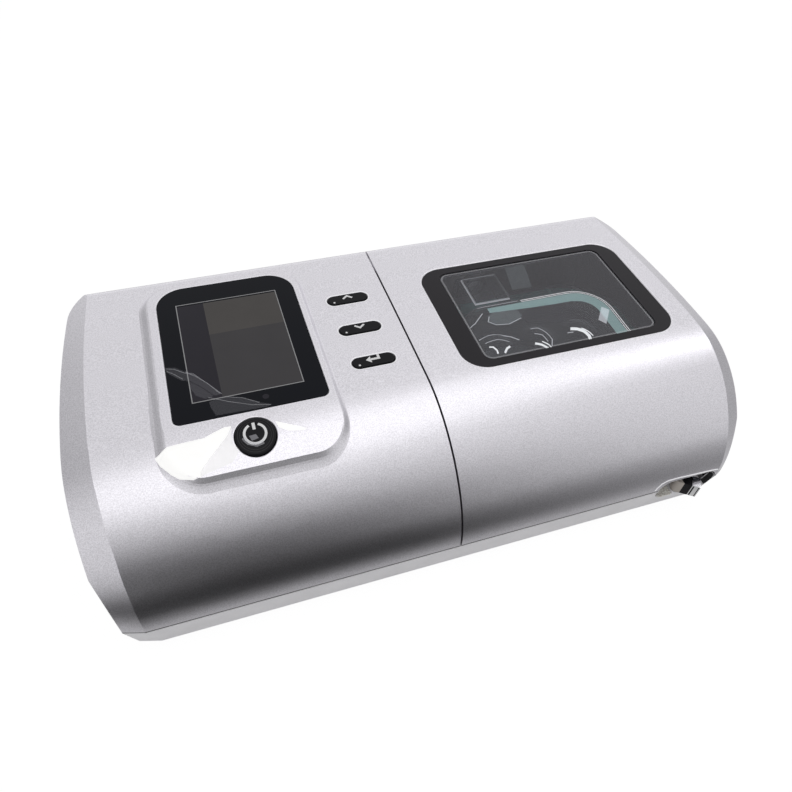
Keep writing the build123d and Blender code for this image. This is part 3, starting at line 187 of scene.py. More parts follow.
def addSoftbox(name):
    # hangs level, shines straight down
    data = bpy.data.lights.new(name, "AREA")
    data.shape = "RECTANGLE"
    data.size, data.size_y = studio["keySize"]
    data.energy = studio["keyPower"]
    lamp = bpy.data.objects.new(name, data)
    bpy.context.scene.collection.objects.link(lamp)
    turn = Matrix.Rotation(math.radians(studio["keyTurn"]), 4, "Z")
    lamp.matrix_world = Matrix.Translation(studio["keyPlace"]) @ turn


def seenDirectly(tree, path):
    # camera rays and rays that come through glass
    camera, through = path.outputs["Is Camera Ray"], path.outputs["Is Transmission Ray"]
    return addMath(tree, "MAXIMUM", camera, through)


def addWorld():
    world = bpy.data.worlds.new("paleStudio")
    bpy.context.scene.world = world
    world.use_nodes = True
    tree = world.node_tree
    back = tree.nodes["Background"]
    back.inputs["Color"].default_value = (1, 1, 1, 1)
    way = addParts(tree, "Generated")
    path = tree.nodes.new("ShaderNodeLightPath")
    frontLeft, frontRight, rear = studio["wallInMirrors"]
    leftFront, leftRear, farRight = studio["sideInMirrors"]
    sky = studio["skyInMirrors"]
    front = addRange(tree, way["X"], studio["frontAcross"], frontLeft, frontRight)
    front = addRange(tree, way["Z"], studio["frontUp"], front, sky)
    rear = addRange(tree, way["Z"], studio["rearUp"], rear, sky)
    mirrored = addRange(tree, way["Y"], studio["frontToRear"], front, rear)
    left = addRange(tree, way["Y"], studio["frontToRear"], leftFront, leftRear)
    mirrored = addRange(tree, way["X"], studio["leftEnd"], left, mirrored)
    mirrored = addRange(tree, way["X"], studio["rightEnd"], mirrored, farRight)
    level = addRange(tree, seenDirectly(tree, path), (0.0, 1.0), studio["worldLevel"], 1.0)
    level = addRange(tree, path.outputs["Is Glossy Ray"], (0.0, 1.0), level, mirrored)
    tree.links.new(level, back.inputs["Strength"])


def addFloor():
    bm = bmesh.new()
    bmesh.ops.create_grid(bm, x_segments=1, y_segments=1, size=studio["floorSize"] / 2)
    finish, tree, lit = newFinish("paleFloor", studio["floorColor"], studio["floorRough"])
    path = tree.nodes.new("ShaderNodeLightPath")
    place = addParts(tree, "Object")
    farLeft, farRight, near, side = studio["floorInMirrors"]
    mirrored = addRange(tree, place["X"], studio["floorAcross"], farLeft, farRight)
    mirrored = addRange(tree, place["Y"], studio["floorNear"], mirrored, near)
    mirrored = addRange(tree, place["X"], studio["floorSide"], side, mirrored)
    # mostly plain white, the rest lit, so a soft shadow stays
    plain = addMath(tree, "MULTIPLY", seenDirectly(tree, path), studio["plainShare"])
    shown = addMix(tree, plain, lit.outputs[0], addGlow(tree, studio["plainLevel"]))
    shown = addMix(tree, path.outputs["Is Glossy Ray"], shown, addGlow(tree, mirrored))
    showShader(tree, shown)
    placeMesh(bm, "floor", finish)


def addGlare():
    # a card that only mirrors see
    bm = bmesh.new()
    bm.faces.new([bm.verts.new(corner) for corner in glare["corners"]])
    finish = bpy.data.materials.new("glareCard")
    finish.use_nodes = True
    tree = finish.node_tree
    clear = tree.nodes.new("ShaderNodeBsdfTransparent")
    path = tree.nodes.new("ShaderNodeLightPath")
    glow = addGlow(tree, glare["level"])
    showShader(tree, addMix(tree, path.outputs["Is Glossy Ray"], clear.outputs[0], glow))
    placeMesh(bm, "glareCard", finish)


addCamera()
addWorld()
addFloor()
addGlare()
addSoftbox("overhead")
bpy.context.scene.view_settings.view_transform = "Standard"
print("camera, floor and lamps placed")


# finishes

grain = {
    "ends": (0.35, 0.65),       # of the noise, where the two shades are full
    "plainScale": 60.0,
    "clearScale": 30.0,
    "clearShade": 0.97,
    "sheerScale": 80.0,
    "sheerShade": 0.96,
    "bumpScale": 1800.0,
    "bumpDetail": 3.0,
    "bumpDepth": 0.0002,
}


def addNoise(tree, scale, detail):
    place = tree.nodes.new("ShaderNodeTexCoord")
    noise = tree.nodes.new("ShaderNodeTexNoise")
    noise.inputs["Scale"].default_value = scale
    noise.inputs["Detail"].default_value = detail
    tree.links.new(place.outputs["Object"], noise.inputs["Vector"])
    return noise.outputs["Fac"]


def addGrain(tree, shader, scale, low, high, detail=2.0):
    # the colour varies from low to high over the piece
    ramp = tree.nodes.new("ShaderNodeValToRGB")
    for stop, position, color in zip(ramp.color_ramp.elements, grain["ends"], (low, high)):
        stop.position = position
        stop.color = (*color, 1)
    tree.links.new(addNoise(tree, scale, detail), ramp.inputs["Fac"])
    tree.links.new(ramp.outputs["Color"], shader.inputs["Base Color"])


def addEdgeTone(tree, shader, axis, edge, color):
    # everything below the edge on that axis, metres, takes the other colour
    mix = tree.nodes.new("ShaderNodeMixRGB")
    below = addMath(tree, "LESS_THAN", addParts(tree, "Object")[axis], edge)
    tree.links.new(below, mix.inputs["Fac"])
    tree.links.new(shader.inputs["Base Color"].links[0].from_socket, mix.inputs["Color1"])
    mix.inputs["Color2"].default_value = (*color, 1)
    tree.links.new(mix.outputs[0], shader.inputs["Base Color"])


def addBumps(tree, shader, strength):
    bump = tree.nodes.new("ShaderNodeBump")
    bump.inputs["Strength"].default_value = strength
    bump.inputs["Distance"].default_value = grain["bumpDepth"]
    noise = addNoise(tree, grain["bumpScale"], grain["bumpDetail"])
    tree.links.new(noise, bump.inputs["Height"])
    tree.links.new(bump.outputs["Normal"], shader.inputs["Normal"])


def shades(color, spread):
    return [c * (1 - spread) for c in color], [min(1, c * (1 + spread)) for c in color]


silver = {
    "color": (0.745, 0.73, 0.775),
    "spread": 0.12,         # lighter and darker flakes
    "flakeScale": 2200.0,
    "rough": 0.375,
    "metal": 1.0,
    "coat": 0.35,
    "coatRough": 0.08,
    "seam": 0.0208,         # the dark parting line reaches up to this height, metres
    "seamColor": (0.05, 0.05, 0.055),
}

lever = {
    "color": (0.01, 0.01, 0.012),
    "shades": ((0.009, 0.009, 0.011), (0.011, 0.011, 0.013)),
    "rootEnd": 0.1212,      # the pale root ends here, metres
    "rootColor": (0.5, 0.46, 0.42),
}


def silverPaint(name):
    finish, tree, shader = newFinish(
        name, silver["color"], silver["rough"],
        metal=silver["metal"], coat=silver["coat"], coatRough=silver["coatRough"],
    )
    low, high = shades(silver["color"], silver["spread"])
    addGrain(tree, shader, silver["flakeScale"], low, high, detail=1.0)
    addEdgeTone(tree, shader, "Z", silver["seam"], silver["seamColor"])
    return finish


def leverFinish(name):
    # black lever on a pale pivot block
    finish, tree, shader = newFinish(name, lever["color"], 0.3, spec=0.12)
    addGrain(tree, shader, grain["plainScale"], *lever["shades"])
    addEdgeTone(tree, shader, "X", lever["rootEnd"], lever["rootColor"])
    return finish


def plainFinish(name, color, rough, spread=0.03, scale=grain["plainScale"], bumps=0.0, **more):
    finish, tree, shader = newFinish(name, color, rough, **more)
    low, high = shades(color, spread)
    addGrain(tree, shader, scale, low, high)
    if bumps:
        addBumps(tree, shader, bumps)
    return finish


def clearFinish(name, tint, milk, milkColor, gloss=0.03, bend=1.5):
    # clear moulding: mostly see-through, a little milky, with a reflecting skin
    finish, tree, shader = newFinish(name, milkColor, gloss, bend=bend)
    darker = [c * grain["clearShade"] for c in milkColor]
    addGrain(tree, shader, grain["clearScale"], darker, milkColor)
    clear = tree.nodes.new("ShaderNodeBsdfTransparent")
    clear.inputs["Color"].default_value = (*tint, 1)
    fresnel = tree.nodes.new("ShaderNodeFresnel")
    fresnel.inputs["IOR"].default_value = bend
    share = addMath(tree, "ADD", fresnel.outputs[0], milk, clamp=True)
    # only the side that faces outwards shines, so the wall is not counted twice
    side = tree.nodes.new("ShaderNodeNewGeometry")
    front = addMath(tree, "SUBTRACT", 1.0, side.outputs["Backfacing"])
    shine = addMath(tree, "MULTIPLY", share, front)
    showShader(tree, addMix(tree, shine, clear.outputs[0], shader.outputs[0]))
    return finish


def sheerFinish(name, color, cover, rough, glow=0.0):
    # thin clear sheet for painted glare, highlights, reflections and shade: part see-through,
    # part plain colour, glowing by the given amount
    finish, tree, shader = newFinish(name, color, rough)
    shader.inputs["Emission Color"].default_value = (*color, 1)
    shader.inputs["Emission Strength"].default_value = glow
    darker = [c * grain["sheerShade"] for c in color]
    addGrain(tree, shader, grain["sheerScale"], darker, color)
    clear = tree.nodes.new("ShaderNodeBsdfTransparent")
    showShader(tree, addMix(tree, cover, clear.outputs[0], shader.outputs[0]))
    return finish


finishes = {
    "silverPaint": silverPaint("silverPaint"),
    "leverBlack": leverFinish("leverBlack"),
    "trayGrey": plainFinish("trayGrey", (0.88, 0.87, 0.89), 0.5, bumps=0.1),
    "rubberBlack": plainFinish("rubberBlack", (0.02, 0.02, 0.02), 0.75, spread=0.1),
    "steel": plainFinish("steel", (0.62, 0.62, 0.63), 0.3, metal=1.0),
    "glassBlack": plainFinish("glassBlack", (0.004, 0.005, 0.009), 0.06, spec=0.11),
    "bezelBlack": plainFinish("bezelBlack", (0.016, 0.014, 0.018), 0.35, spec=0.2),
    "buttonBlackAndShade": plainFinish("buttonBlackAndShade", (0.010, 0.010, 0.012), 0.3, spec=0.12),
    "lensClear": clearFinish(
        "lensClear", (0.90, 0.91, 0.92), 0.085, (0.75, 0.74, 0.80), bend=1.42,
    ),
    "tankClear": clearFinish(
        "tankClear", (0.80, 0.82, 0.83), 0.05, (0.55, 0.56, 0.58), gloss=0.06,
    ),
    "lcdGrey": plainFinish("lcdGrey", (0.09, 0.085, 0.08), 0.2),
    "boardGreen": plainFinish("boardGreen", (0.02, 0.12, 0.05), 0.4, spread=0.15, scale=200.0),
    "darkPlasticAndShade": plainFinish("darkPlasticAndShade", (0.035, 0.035, 0.037), 0.5, bumps=0.1),
    "siliconeTeal": plainFinish("siliconeTeal", (0.16, 0.40, 0.36), 0.4),
    "siliconeGrey": plainFinish("siliconeGrey", (0.3, 0.3, 0.3), 0.5),
    "foamGrey": plainFinish("foamGrey", (0.08, 0.08, 0.09), 0.95, spread=0.3, scale=900.0),
    "bayGrey": plainFinish("bayGrey", (0.13, 0.125, 0.135), 0.5, bumps=0.1),
    "aluminium": plainFinish("aluminium", (0.72, 0.72, 0.73), 0.3, metal=1.0),
    "chrome": plainFinish("chrome", (0.85, 0.85, 0.86), 0.08, metal=1.0),
    "plateBeige": plainFinish("plateBeige", (0.86, 0.80, 0.72), 0.5, spread=0.3, scale=1400.0),
    "outletWhite": plainFinish("outletWhite", (0.6, 0.6, 0.62), 0.4),
    "printAndGlintWhite": plainFinish("printAndGlintWhite", (0.92, 0.92, 0.93), 0.5),
    "printGrey": plainFinish("printGrey", (0.34, 0.34, 0.35), 0.4),
    "panelGrey": plainFinish("panelGrey", (0.068, 0.065, 0.069), 0.3, spec=0.1),
    "panelWarm": plainFinish("panelWarm", (0.092, 0.086, 0.083), 0.3, spec=0.1),
    "panelDark": plainFinish("panelDark", (0.030, 0.028, 0.036), 0.3, spec=0.1),
    # sheer sheets of painted light and shade: highlights, glare, sheen, reflections, the seal's
    # glow and the hollow's shade
    "edgeHighlight": sheerFinish("edgeHighlight", (0.95, 0.95, 0.97), 0.95, 0.35, 0.25),
    "filmBright": sheerFinish("filmBright", (1.0, 1.0, 0.98), 0.85, 0.3, 0.42),
    "filmSoft": sheerFinish("filmSoft", (1.0, 1.0, 0.98), 0.5, 0.3, 0.4),
    "filmCreaseSheen": sheerFinish("filmCreaseSheen", (0.6, 0.6, 0.66), 0.09, 0.5),
    "sheenLine": sheerFinish("sheenLine", (0.8, 0.8, 0.86), 0.3, 0.5),
    "faintHighlight": sheerFinish("faintHighlight", (0.9, 0.9, 0.94), 0.2, 0.5, 0.25),
    "softHighlight": sheerFinish("softHighlight", (0.95, 0.95, 1.0), 0.45, 0.5, 0.6),
    "brightHighlight": sheerFinish("brightHighlight", (1.0, 1.0, 1.0), 0.9, 0.5, 0.75),
    "sealGlowTint": sheerFinish("sealGlowTint", (0.48, 0.72, 0.70), 0.6, 0.5, 0.3),
    "paintedShadeDark": sheerFinish("paintedShadeDark", (0.05, 0.045, 0.055), 0.4, 0.6),
    "paleGlow": sheerFinish("paleGlow", (0.7, 0.8, 0.82), 0.16, 0.6, 0.2),
}

wears = {
    "silverPaint": ["main_housing", "humidifier_lid", "hinge_wall"],
    "trayGrey": ["base_tray"],
    "rubberBlack": ["rubber_feet", "blower_mounts", "keypad_membrane"],
    "steel": [
        "tray_screws", "display_board_screws", "main_board_screws", "latch_pin", "hinge_pins",
        "motor_shaft",
    ],
    "glassBlack": ["display_window"],
    "bezelBlack": ["window_bezel"],
    "buttonBlackAndShade": ["power_button", "key_enter", "key_down", "key_up"],
    "leverBlack": ["latch_lever"],
    "lensClear": ["window_lens"],
    "tankClear": ["tank_cover", "tank_base"],
    "lcdGrey": ["lcd_panel"],
    "boardGreen": ["display_board", "main_board"],
    "darkPlasticAndShade": [
        "lcd_frame", "button_switches", "board_components", "power_jack", "filter_cover",
        "blower_base", "blower_cover", "blower_impeller", "blower_motor",
    ],
    "siliconeTeal": ["tank_gasket"],
    "siliconeGrey": ["outlet_duct", "inlet_seal", "outlet_seal", "heater_pads"],
    "foamGrey": ["filter_foam"],
    "bayGrey": ["humidifier_bay"],
    "aluminium": ["heater_plate", "tank_heat_plate"],
    "chrome": ["latch_trim"],
    "plateBeige": ["latch_plate"],
    "outletWhite": ["hose_outlet"],
}


for finishName, members in wears.items():
    for name in members:
        piece = nodes[name]
        piece.data.materials.clear()
        piece.data.materials.append(finishes[finishName])
bare = sorted(set(nodes) - {name for members in wears.values() for name in members})
print("finishes on", len(nodes) - len(bare), "nodes, none on", bare)


# pieces that the frame leaves out: print, symbols, bright rims, film

def mm(*values):
    return tuple(v / 1000 for v in values)


def skinTree(name):
    piece = nodes[name]
    corners = [piece.matrix_world @ v.co for v in piece.data.vertices]
    return BVHTree.FromPolygons(corners, [tuple(f.vertices) for f in piece.data.polygons])


def surfaceOf(name, above=200):
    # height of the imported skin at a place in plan, millimetres
    tree = skinTree(name)

    def height(x, y):
        hit = tree.ray_cast(Vector(mm(x, y, above)), Vector((0, 0, -1)))[0]
        return hit.z * 1000 if hit else None
    return height


def cutShort(points, longest, closed):
    # extra points along a line so that it can follow a curved skin
    ends = points[1:] + points[:1] if closed else points[1:]
    fine = []
    for a, b in zip(points, ends):
        a, b = Vector(a), Vector(b)
        parts = max(1, math.ceil((b - a).length / longest))
        fine += [tuple(a.lerp(b, i / parts)) for i in range(parts)]
    return fine if closed else fine + [tuple(points[-1])]


def addStrip(bm, points, width, closed=False, longest=1.5, sharpest=0.4):
    # a flat strip along a line of plan points, mitred at its corners
    line = cutShort(list(points), longest, closed)
    count = len(line)
    pairs = []
    for i, point in enumerate(line):
        before = Vector(line[i - 1]) if closed or i else None
        after = Vector(line[(i + 1) % count]) if closed or i < count - 1 else None
        here = Vector(point)
        into = (here - before).normalized() if before else (after - here).normalized()
        away = (after - here).normalized() if after else into
        side = Vector((-into.y - away.y, into.x + away.x)).normalized()
        half = width / 2 / max(sharpest, side.dot(Vector((-into.y, into.x))))
        pairs.append([bm.verts.new((*mm(*(here + side * k * half)), 0)) for k in (1, -1)])
    for i in range(count if closed else count - 1):
        (a, b), (c, d) = pairs[i], pairs[(i + 1) % count]
        bm.faces.new((a, b, d, c))


def addPatch(bm, outline, longest=4.0, rounds=6):
    # a flat patch inside a plan outline, cut up until no edge is too long
    corners = [bm.verts.new((*mm(x, y), 0)) for x, y in outline]
    faces = [bm.faces.new(corners)]
    faces = bmesh.ops.triangulate(bm, faces=faces)["faces"]
    for _ in range(rounds):
        edges = {e for f in faces for e in f.edges if e.calc_length() * 1000 > longest}
        if not edges:
            break
        bmesh.ops.subdivide_edges(bm, edges=list(edges), cuts=1)
        faces = bmesh.ops.triangulate(bm, faces=bm.faces[:])["faces"]


def arcPoints(x, y, radius, start, end, steps=24):
    turns = [math.radians(start + (end - start) * i / steps) for i in range(steps + 1)]
    return [(x + radius * math.cos(t), y + radius * math.sin(t)) for t in turns]


def roundedPath(left, right, front, rear, radii):
    # radii at the front left, front right, rear right and rear left corners
    fl, fr, rr, rl = radii
    corners = (
        (left + fl, front + fl, fl, 180), (right - fr, front + fr, fr, 270),
        (right - rr, rear - rr, rr, 0), (left + rl, rear - rl, rl, 90),
    )
    path = []
    for x, y, radius, start in corners:
        path += arcPoints(x, y, radius, start, start + 90, 10)
    return path


layers = {
    # millimetres: how far over the skin a piece lies, and how thick it is
    "symbol": (0.04, 0.06),
    "line": (0.05, 0.06),
    "dot": (0.03, 0.06),
    "tone": (0.02, 0.04),
    "rim": (0.02, 0.05),
    "ring": (0.02, 0.03),
    "film": (0.08, 0),
    "crease": (0.1, 0),
    "creaseLine": (0.12, 0),
    "lensEdgeHighlight": (0.03, 0),
    "domeEdge": (0.05, 0),
    "domePatch": (0.04, 0),
    "domeSeal": (0.03, 0),
}


def layOn(bm, height, layer):
    # drop the flat piece onto the skin and give it a little thickness
    lift, thick = layers[layer]
    lost = []
    for v in bm.verts:
        z = height(v.co.x * 1000, v.co.y * 1000)
        if z is None:
            lost.append(v)
        else:
            v.co.z = (z + lift) / 1000
    bmesh.ops.delete(bm, geom=lost, context="VERTS")
    if thick:
        made = bmesh.ops.extrude_face_region(bm, geom=bm.faces[:])["geom"]
        for v in made:
            if isinstance(v, bmesh.types.BMVert):
                v.co.z -= thick / 1000


def pushOnto(bm, name, way, lift=0.05, reach=50.0):
    # drop the flat piece onto a node along any direction, for upright faces
    tree = skinTree(name)
    way = Vector(way).normalized()
    lost = []
    for v in bm.verts:
        hit = tree.ray_cast(v.co - way * reach / 1000, way, 2 * reach / 1000)[0]
        if hit:
            v.co = hit - way * lift / 1000
        else:
            lost.append(v)
    bmesh.ops.delete(bm, geom=lost, context="VERTS")


def standUp(bm, way=(0, 1, 0), out=(0, 0, 0)):
    # a piece drawn flat as (along, height) stands up facing against the way
    way = Vector(way).normalized()
    along = Vector((way.y, -way.x, 0))
    for v in bm.verts:
        v.co = Vector(mm(*out)) + along * v.co.x + Vector((0, 0, v.co.y))


def finishPiece(bm, name, finish, body, smooth=False):
    bmesh.ops.recalc_face_normals(bm, faces=bm.faces)
    for face in bm.faces:
        face.smooth = smooth
    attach(placeMesh(bm, name, finishes[finish]), body)


def boxOf(name):
    low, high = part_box(name)
    return low.x * 1000, high.x * 1000, low.y * 1000, high.y * 1000


def addRimHighlight(name, body, height, box, out, width, radii):
    # painted highlight: a glowing bright line on the casing round the opening that the box fills
    left, right, front, rear = box
    path = roundedPath(left - out, right + out, front - out, rear + out, radii)
    bm = bmesh.new()
    addStrip(bm, path, width, closed=True)
    layOn(bm, height, "rim")
    finishPiece(bm, name, "edgeHighlight", body)


display = {
    "line": (8.8, 9.1, 10.36, 12.34),   # printed rectangle, in from left, right, front, rear
    "lineWidth": 0.42,
    "panelIn": 0.3,                     # the panel lies this far inside the line
    "panelRows": (-19.0, 20.2, 42.5),   # front, change of tone, rear
    "split": 21.2,                      # its lit part starts here, from the glass's left
    "dot": (38.6, 6.15, 1.4),           # from the left, from the front, radius
    # painted highlight line round the glass: width, gap and corner radii below
    "rim": 0.55,
    "rimGap": 0.2,
    "rimCorners": (3.3, 3.3, 13.3, 13.3),
}
glassHeight = surfaceOf("display_window")
casingHeight = surfaceOf("main_housing")


def displayPrint():
    box = boxOf("display_window")
    left, right, front, rear = box
    inLeft, inRight, inFront, inRear = display["line"]
    frameLine = [
        (left + inLeft, front + inFront), (right - inRight, front + inFront),
        (right - inRight, rear - inRear), (left + inLeft, rear - inRear),
    ]
    bm = bmesh.new()
    addStrip(bm, frameLine, display["lineWidth"], closed=True, longest=80)
    layOn(bm, glassHeight, "line")
    finishPiece(bm, "displayLine", "printGrey", "chassis")
    inside = display["panelIn"]
    low, change, high = display["panelRows"]
    start, end = left + display["split"], right - inRight - inside
    tones = (
        ("panelUnlit", "panelDark", left + inLeft + inside, start, low, high),
        ("panelLower", "panelGrey", start, end, low, change),
        ("panelUpper", "panelWarm", start, end, change, high),
    )
    for name, finish, x0, x1, y0, y1 in tones:
        bm = bmesh.new()
        addPatch(bm, [(x0, y0), (x1, y0), (x1, y1), (x0, y1)], longest=90)
        layOn(bm, glassHeight, "tone")
        finishPiece(bm, name, finish, "chassis")
    inLeft, inFront, radius = display["dot"]
    bm = bmesh.new()
    addPatch(bm, arcPoints(left + inLeft, front + inFront, radius, 0, 345, 23))
    layOn(bm, glassHeight, "dot")
    finishPiece(bm, "displayDot", "panelDark", "chassis")
    width = display["rim"]
    out = width / 2 + display["rimGap"]
    addRimHighlight("glassRimHighlight", "chassis", casingHeight, box, out, width, display["rimCorners"])


displayPrint()

keySigns = {
    "flange": 1.4,      # the key's hidden edge, all round
    "stroke": 1.0,
    "wide": 2.3,        # chevron's half width
    "high": 1.85,
    "ahead": 0.75,      # towards the rear of the key's middle
    "arrowStroke": 1.2,
    "arrowLine": ((2.5, 2.1), (2.5, -0.3), (-1.4, -0.3)),
    "arrowHead": ((-3.6, -0.3), (-1.2, -2.3), (-1.2, 1.7)),
    "glint": (3.0, 1.9, 0.5),       # painted highlight dot: from the left, ahead of the middle, radius
    # painted highlight line round each key: width and gap below
    "rim": 0.4,
    "rimGap": 0.45,
}


def keySign(node, kind):
    edge = keySigns["flange"]
    box = [a + k * edge for a, k in zip(boxOf(node), (1, -1, 1, -1))]
    left, right, front, rear = box
    x, middle = (left + right) / 2, (front + rear) / 2
    y = middle + keySigns["ahead"]
    height = surfaceOf(node)
    bm = bmesh.new()
    if kind == "enter":
        addStrip(bm, [(x + a, y + b) for a, b in keySigns["arrowLine"]], keySigns["arrowStroke"])
        addPatch(bm, [(x + a, y + b) for a, b in keySigns["arrowHead"]])
    else:
        wide, high = keySigns["wide"], keySigns["high"]
        up = 1 if kind == "up" else -1
        low = y - up * high / 2
        chevron = [(x - wide, low), (x, low + up * high), (x + wide, low)]
        addStrip(bm, chevron, keySigns["stroke"], longest=20)
    layOn(bm, height, "symbol")
    finishPiece(bm, node + "Sign", "printAndGlintWhite", node)
    # painted highlight: a white glint dot near the key's left end
    inLeft, down, radius = keySigns["glint"]
    bm = bmesh.new()
    addPatch(bm, arcPoints(left + inLeft, middle - down, radius, 0, 340, 17))
    layOn(bm, height, "symbol")
    finishPiece(bm, node + "Dot", "printAndGlintWhite", node)
    width = keySigns["rim"]
    out = width / 2 + keySigns["rimGap"]
    # round ends, just short of meeting in one point
    corner = (rear - front) / 2 + out - 0.01
    addRimHighlight(node + "RimHighlight", "chassis", casingHeight, box, out, width, [corner] * 4)


keySign("key_up", "up")
keySign("key_down", "down")
keySign("key_enter", "enter")

powerSign = {
    "radius": 4.35,
    "stroke": 1.05,
    "opening": 50.0,                # degrees left open at the rear
    "bar": (3.35, 3.2, 1.25),       # its middle, length, width
    "ahead": 0.6,
    "rings": (7.2, 6.3),            # fine turned lines near the button's edge
    "ringWidth": 0.12,
    # painted reflection: soft shine on the button, plan points
    "glintWidth": 1.5,
    "glintArc": ((-82.3, -42.2), (-80.8, -44.7), (-77.5, -46.3), (-74.6, -45.7)),
    "glintPatch": ((-79.8, -41.9), (-77.0, -41.7), (-76.2, -43.6), (-79.1, -44.2)),
}


def powerSymbol():
    left, right, front, rear = boxOf("power_button")
    x, y = (left + right) / 2, (front + rear) / 2 + powerSign["ahead"]
    height = surfaceOf("power_button")
    half = powerSign["opening"] / 2
    circle = arcPoints(x, y, powerSign["radius"], 90 + half, 450 - half, 48)
    bm = bmesh.new()
    addStrip(bm, circle, powerSign["stroke"], longest=9)
    middle, long, wide = powerSign["bar"]
    addStrip(bm, [(x, y + middle - long / 2), (x, y + middle + long / 2)], wide)
    layOn(bm, height, "symbol")
    finishPiece(bm, "powerSymbol", "printAndGlintWhite", "power_button")
    bm = bmesh.new()
    for radius in powerSign["rings"]:
        ring = arcPoints(x, y - powerSign["ahead"], radius, 0, 355, 71)
        addStrip(bm, ring, powerSign["ringWidth"], closed=True, longest=9)
    layOn(bm, height, "ring")
    finishPiece(bm, "powerRings", "panelGrey", "power_button")
    # painted reflection on the button
    bm = bmesh.new()
    addStrip(bm, powerSign["glintArc"], powerSign["glintWidth"])
    addPatch(bm, powerSign["glintPatch"], longest=1.5)
    layOn(bm, height, "film")
    finishPiece(bm, "buttonGlint", "sheenLine", "power_button", smooth=True)


powerSymbol()
print("print and symbols placed")


# clear film left on the pad, creased at the front left corner, shown only by its painted glare
# and sheen; plan points, millimetres

film = {
    # painted glare on the film at the pad's front left corner
    "bright": (
        (-116.9, -41.3), (-111.3, -38.8), (-105.5, -38.5), (-96.9, -38.3), (-93.5, -36.9),
        (-88.5, -35.3), (-85.9, -35.5), (-88.0, -39.2), (-92.3, -43.4), (-96.6, -47.3),
        (-100.8, -51.3), (-100.9, -53.4), (-104.0, -53.6), (-109.0, -51.9), (-111.8, -49.5),
        (-115.4, -45.0),
    ),
    "soft": (
        # softer painted glare beside it
        (-85.9, -35.5), (-86.6, -40.5), (-84.0, -46.0), (-88.0, -50.6), (-100.8, -53.2),
        (-100.8, -51.3), (-96.6, -47.3), (-92.3, -43.4), (-88.0, -39.2),
    ),
    # painted glare streak right of the button
    "fleck": (
        (-68.2, -37.4), (-63.0, -40.1), (-56.3, -43.5), (-57.7, -44.1), (-63.7, -43.1),
        (-67.4, -40.5),
    ),
    # creases shown as painted pale sheen on the glass
    "crease": (
        (
            (-107.9, 4.2), (-103.9, 3.1), (-100.0, -0.4), (-97.2, -1.8), (-93.3, -7.2),
            (-89.9, -12.9), (-86.8, -17.3), (-89.7, -17.6), (-93.9, -11.8), (-98.6, -6.3),
            (-101.8, -5.4), (-105.6, -1.4), (-107.8, 1.7),
        ),
        (
            (-98.6, -6.8), (-93.9, -12.3), (-90.2, -17.6), (-93.9, -18.2), (-97.2, -15.6),
            (-99.1, -10.4),
        ),
        (
            (-92.6, -20.3), (-87.8, -18.8), (-80.6, -20.8), (-73.9, -25.5), (-67.7, -28.4),
            (-69.6, -29.3), (-81.2, -28.9), (-90.8, -28.5), (-92.2, -23.8),
        ),
    ),
    # painted sheen lines along the creases
    "lines": (
        (
            (-107.7, 3.4), (-104.4, 2.3), (-100.2, -1.2), (-96.8, -2.6), (-93.0, -8.0),
            (-89.2, -13.6), (-86.9, -17.2),
        ),
        ((-107.6, 2.0), (-104.6, -0.8), (-101.4, -4.6)),
        ((-99.9, -0.6), (-95.8, -4.6), (-91.8, -9.6), (-87.6, -16.8)),
        ((-92.4, -17.9), (-84.2, -22.6), (-75.8, -26.6), (-68.2, -28.6)),
        ((-85.4, -19.4), (-78.8, -21.8), (-72.6, -26.2)),
    ),
    "lineWidth": 0.32,
}


def filmPieces():
    # painted glare patches, glowing
    for key, finish in (("bright", "filmBright"), ("soft", "filmSoft"), ("fleck", "filmBright")):
        bm = bmesh.new()
        addPatch(bm, film[key], longest=1.3)
        layOn(bm, casingHeight, "film")
        finishPiece(bm, "film" + key.capitalize(), finish, "chassis", smooth=True)
    # the creases and their lines as painted sheen
    bm = bmesh.new()
    for outline in film["crease"]:
        addPatch(bm, outline)
    layOn(bm, glassHeight, "crease")
    finishPiece(bm, "filmCrease", "filmCreaseSheen", "chassis", smooth=True)
    bm = bmesh.new()
    for line in film["lines"]:
        addStrip(bm, line, film["lineWidth"])
    layOn(bm, glassHeight, "creaseLine")
    finishPiece(bm, "filmLines", "sheenLine", "chassis", smooth=True)


filmPieces()
print("film placed")


# under the window: painted highlights, reflections and shade on the clear mouldings

window = {
    "flange": (4.0, 1.6),      # lens hidden under the border: at its ends, front and rear
    "rim": (0.7, 1.0),         # width of the lens's painted edge highlight, and how far in it lies
    "rimCorner": 4.0,
    "border": 0.6,             # painted highlight on the lid round the black border
    "borderGap": 0.35,
    "borderCorner": 12.5,
}
coverHeight = surfaceOf("tank_cover")
lensHeight = surfaceOf("window_lens")
lidHeight = surfaceOf("humidifier_lid")


def windowEdges():
    # painted highlights, glowing: along the lens's edge, and on the lid round the border
    left, right, front, rear = boxOf("window_lens")
    width, inward = window["rim"]
    atEnds, atSides = (hidden + inward for hidden in window["flange"])
    path = roundedPath(
        left + atEnds, right - atEnds, front + atSides, rear - atSides, [window["rimCorner"]] * 4,
    )
    bm = bmesh.new()
    addStrip(bm, path, width, closed=True)
    layOn(bm, lensHeight, "lensEdgeHighlight")
    finishPiece(bm, "lensEdgeHighlight", "faintHighlight", "lid")
    width = window["border"]
    out = width / 2 + window["borderGap"]
    corners = [window["borderCorner"]] * 4
    addRimHighlight("borderHighlight", "lid", lidHeight, boxOf("window_bezel"), out, width, corners)


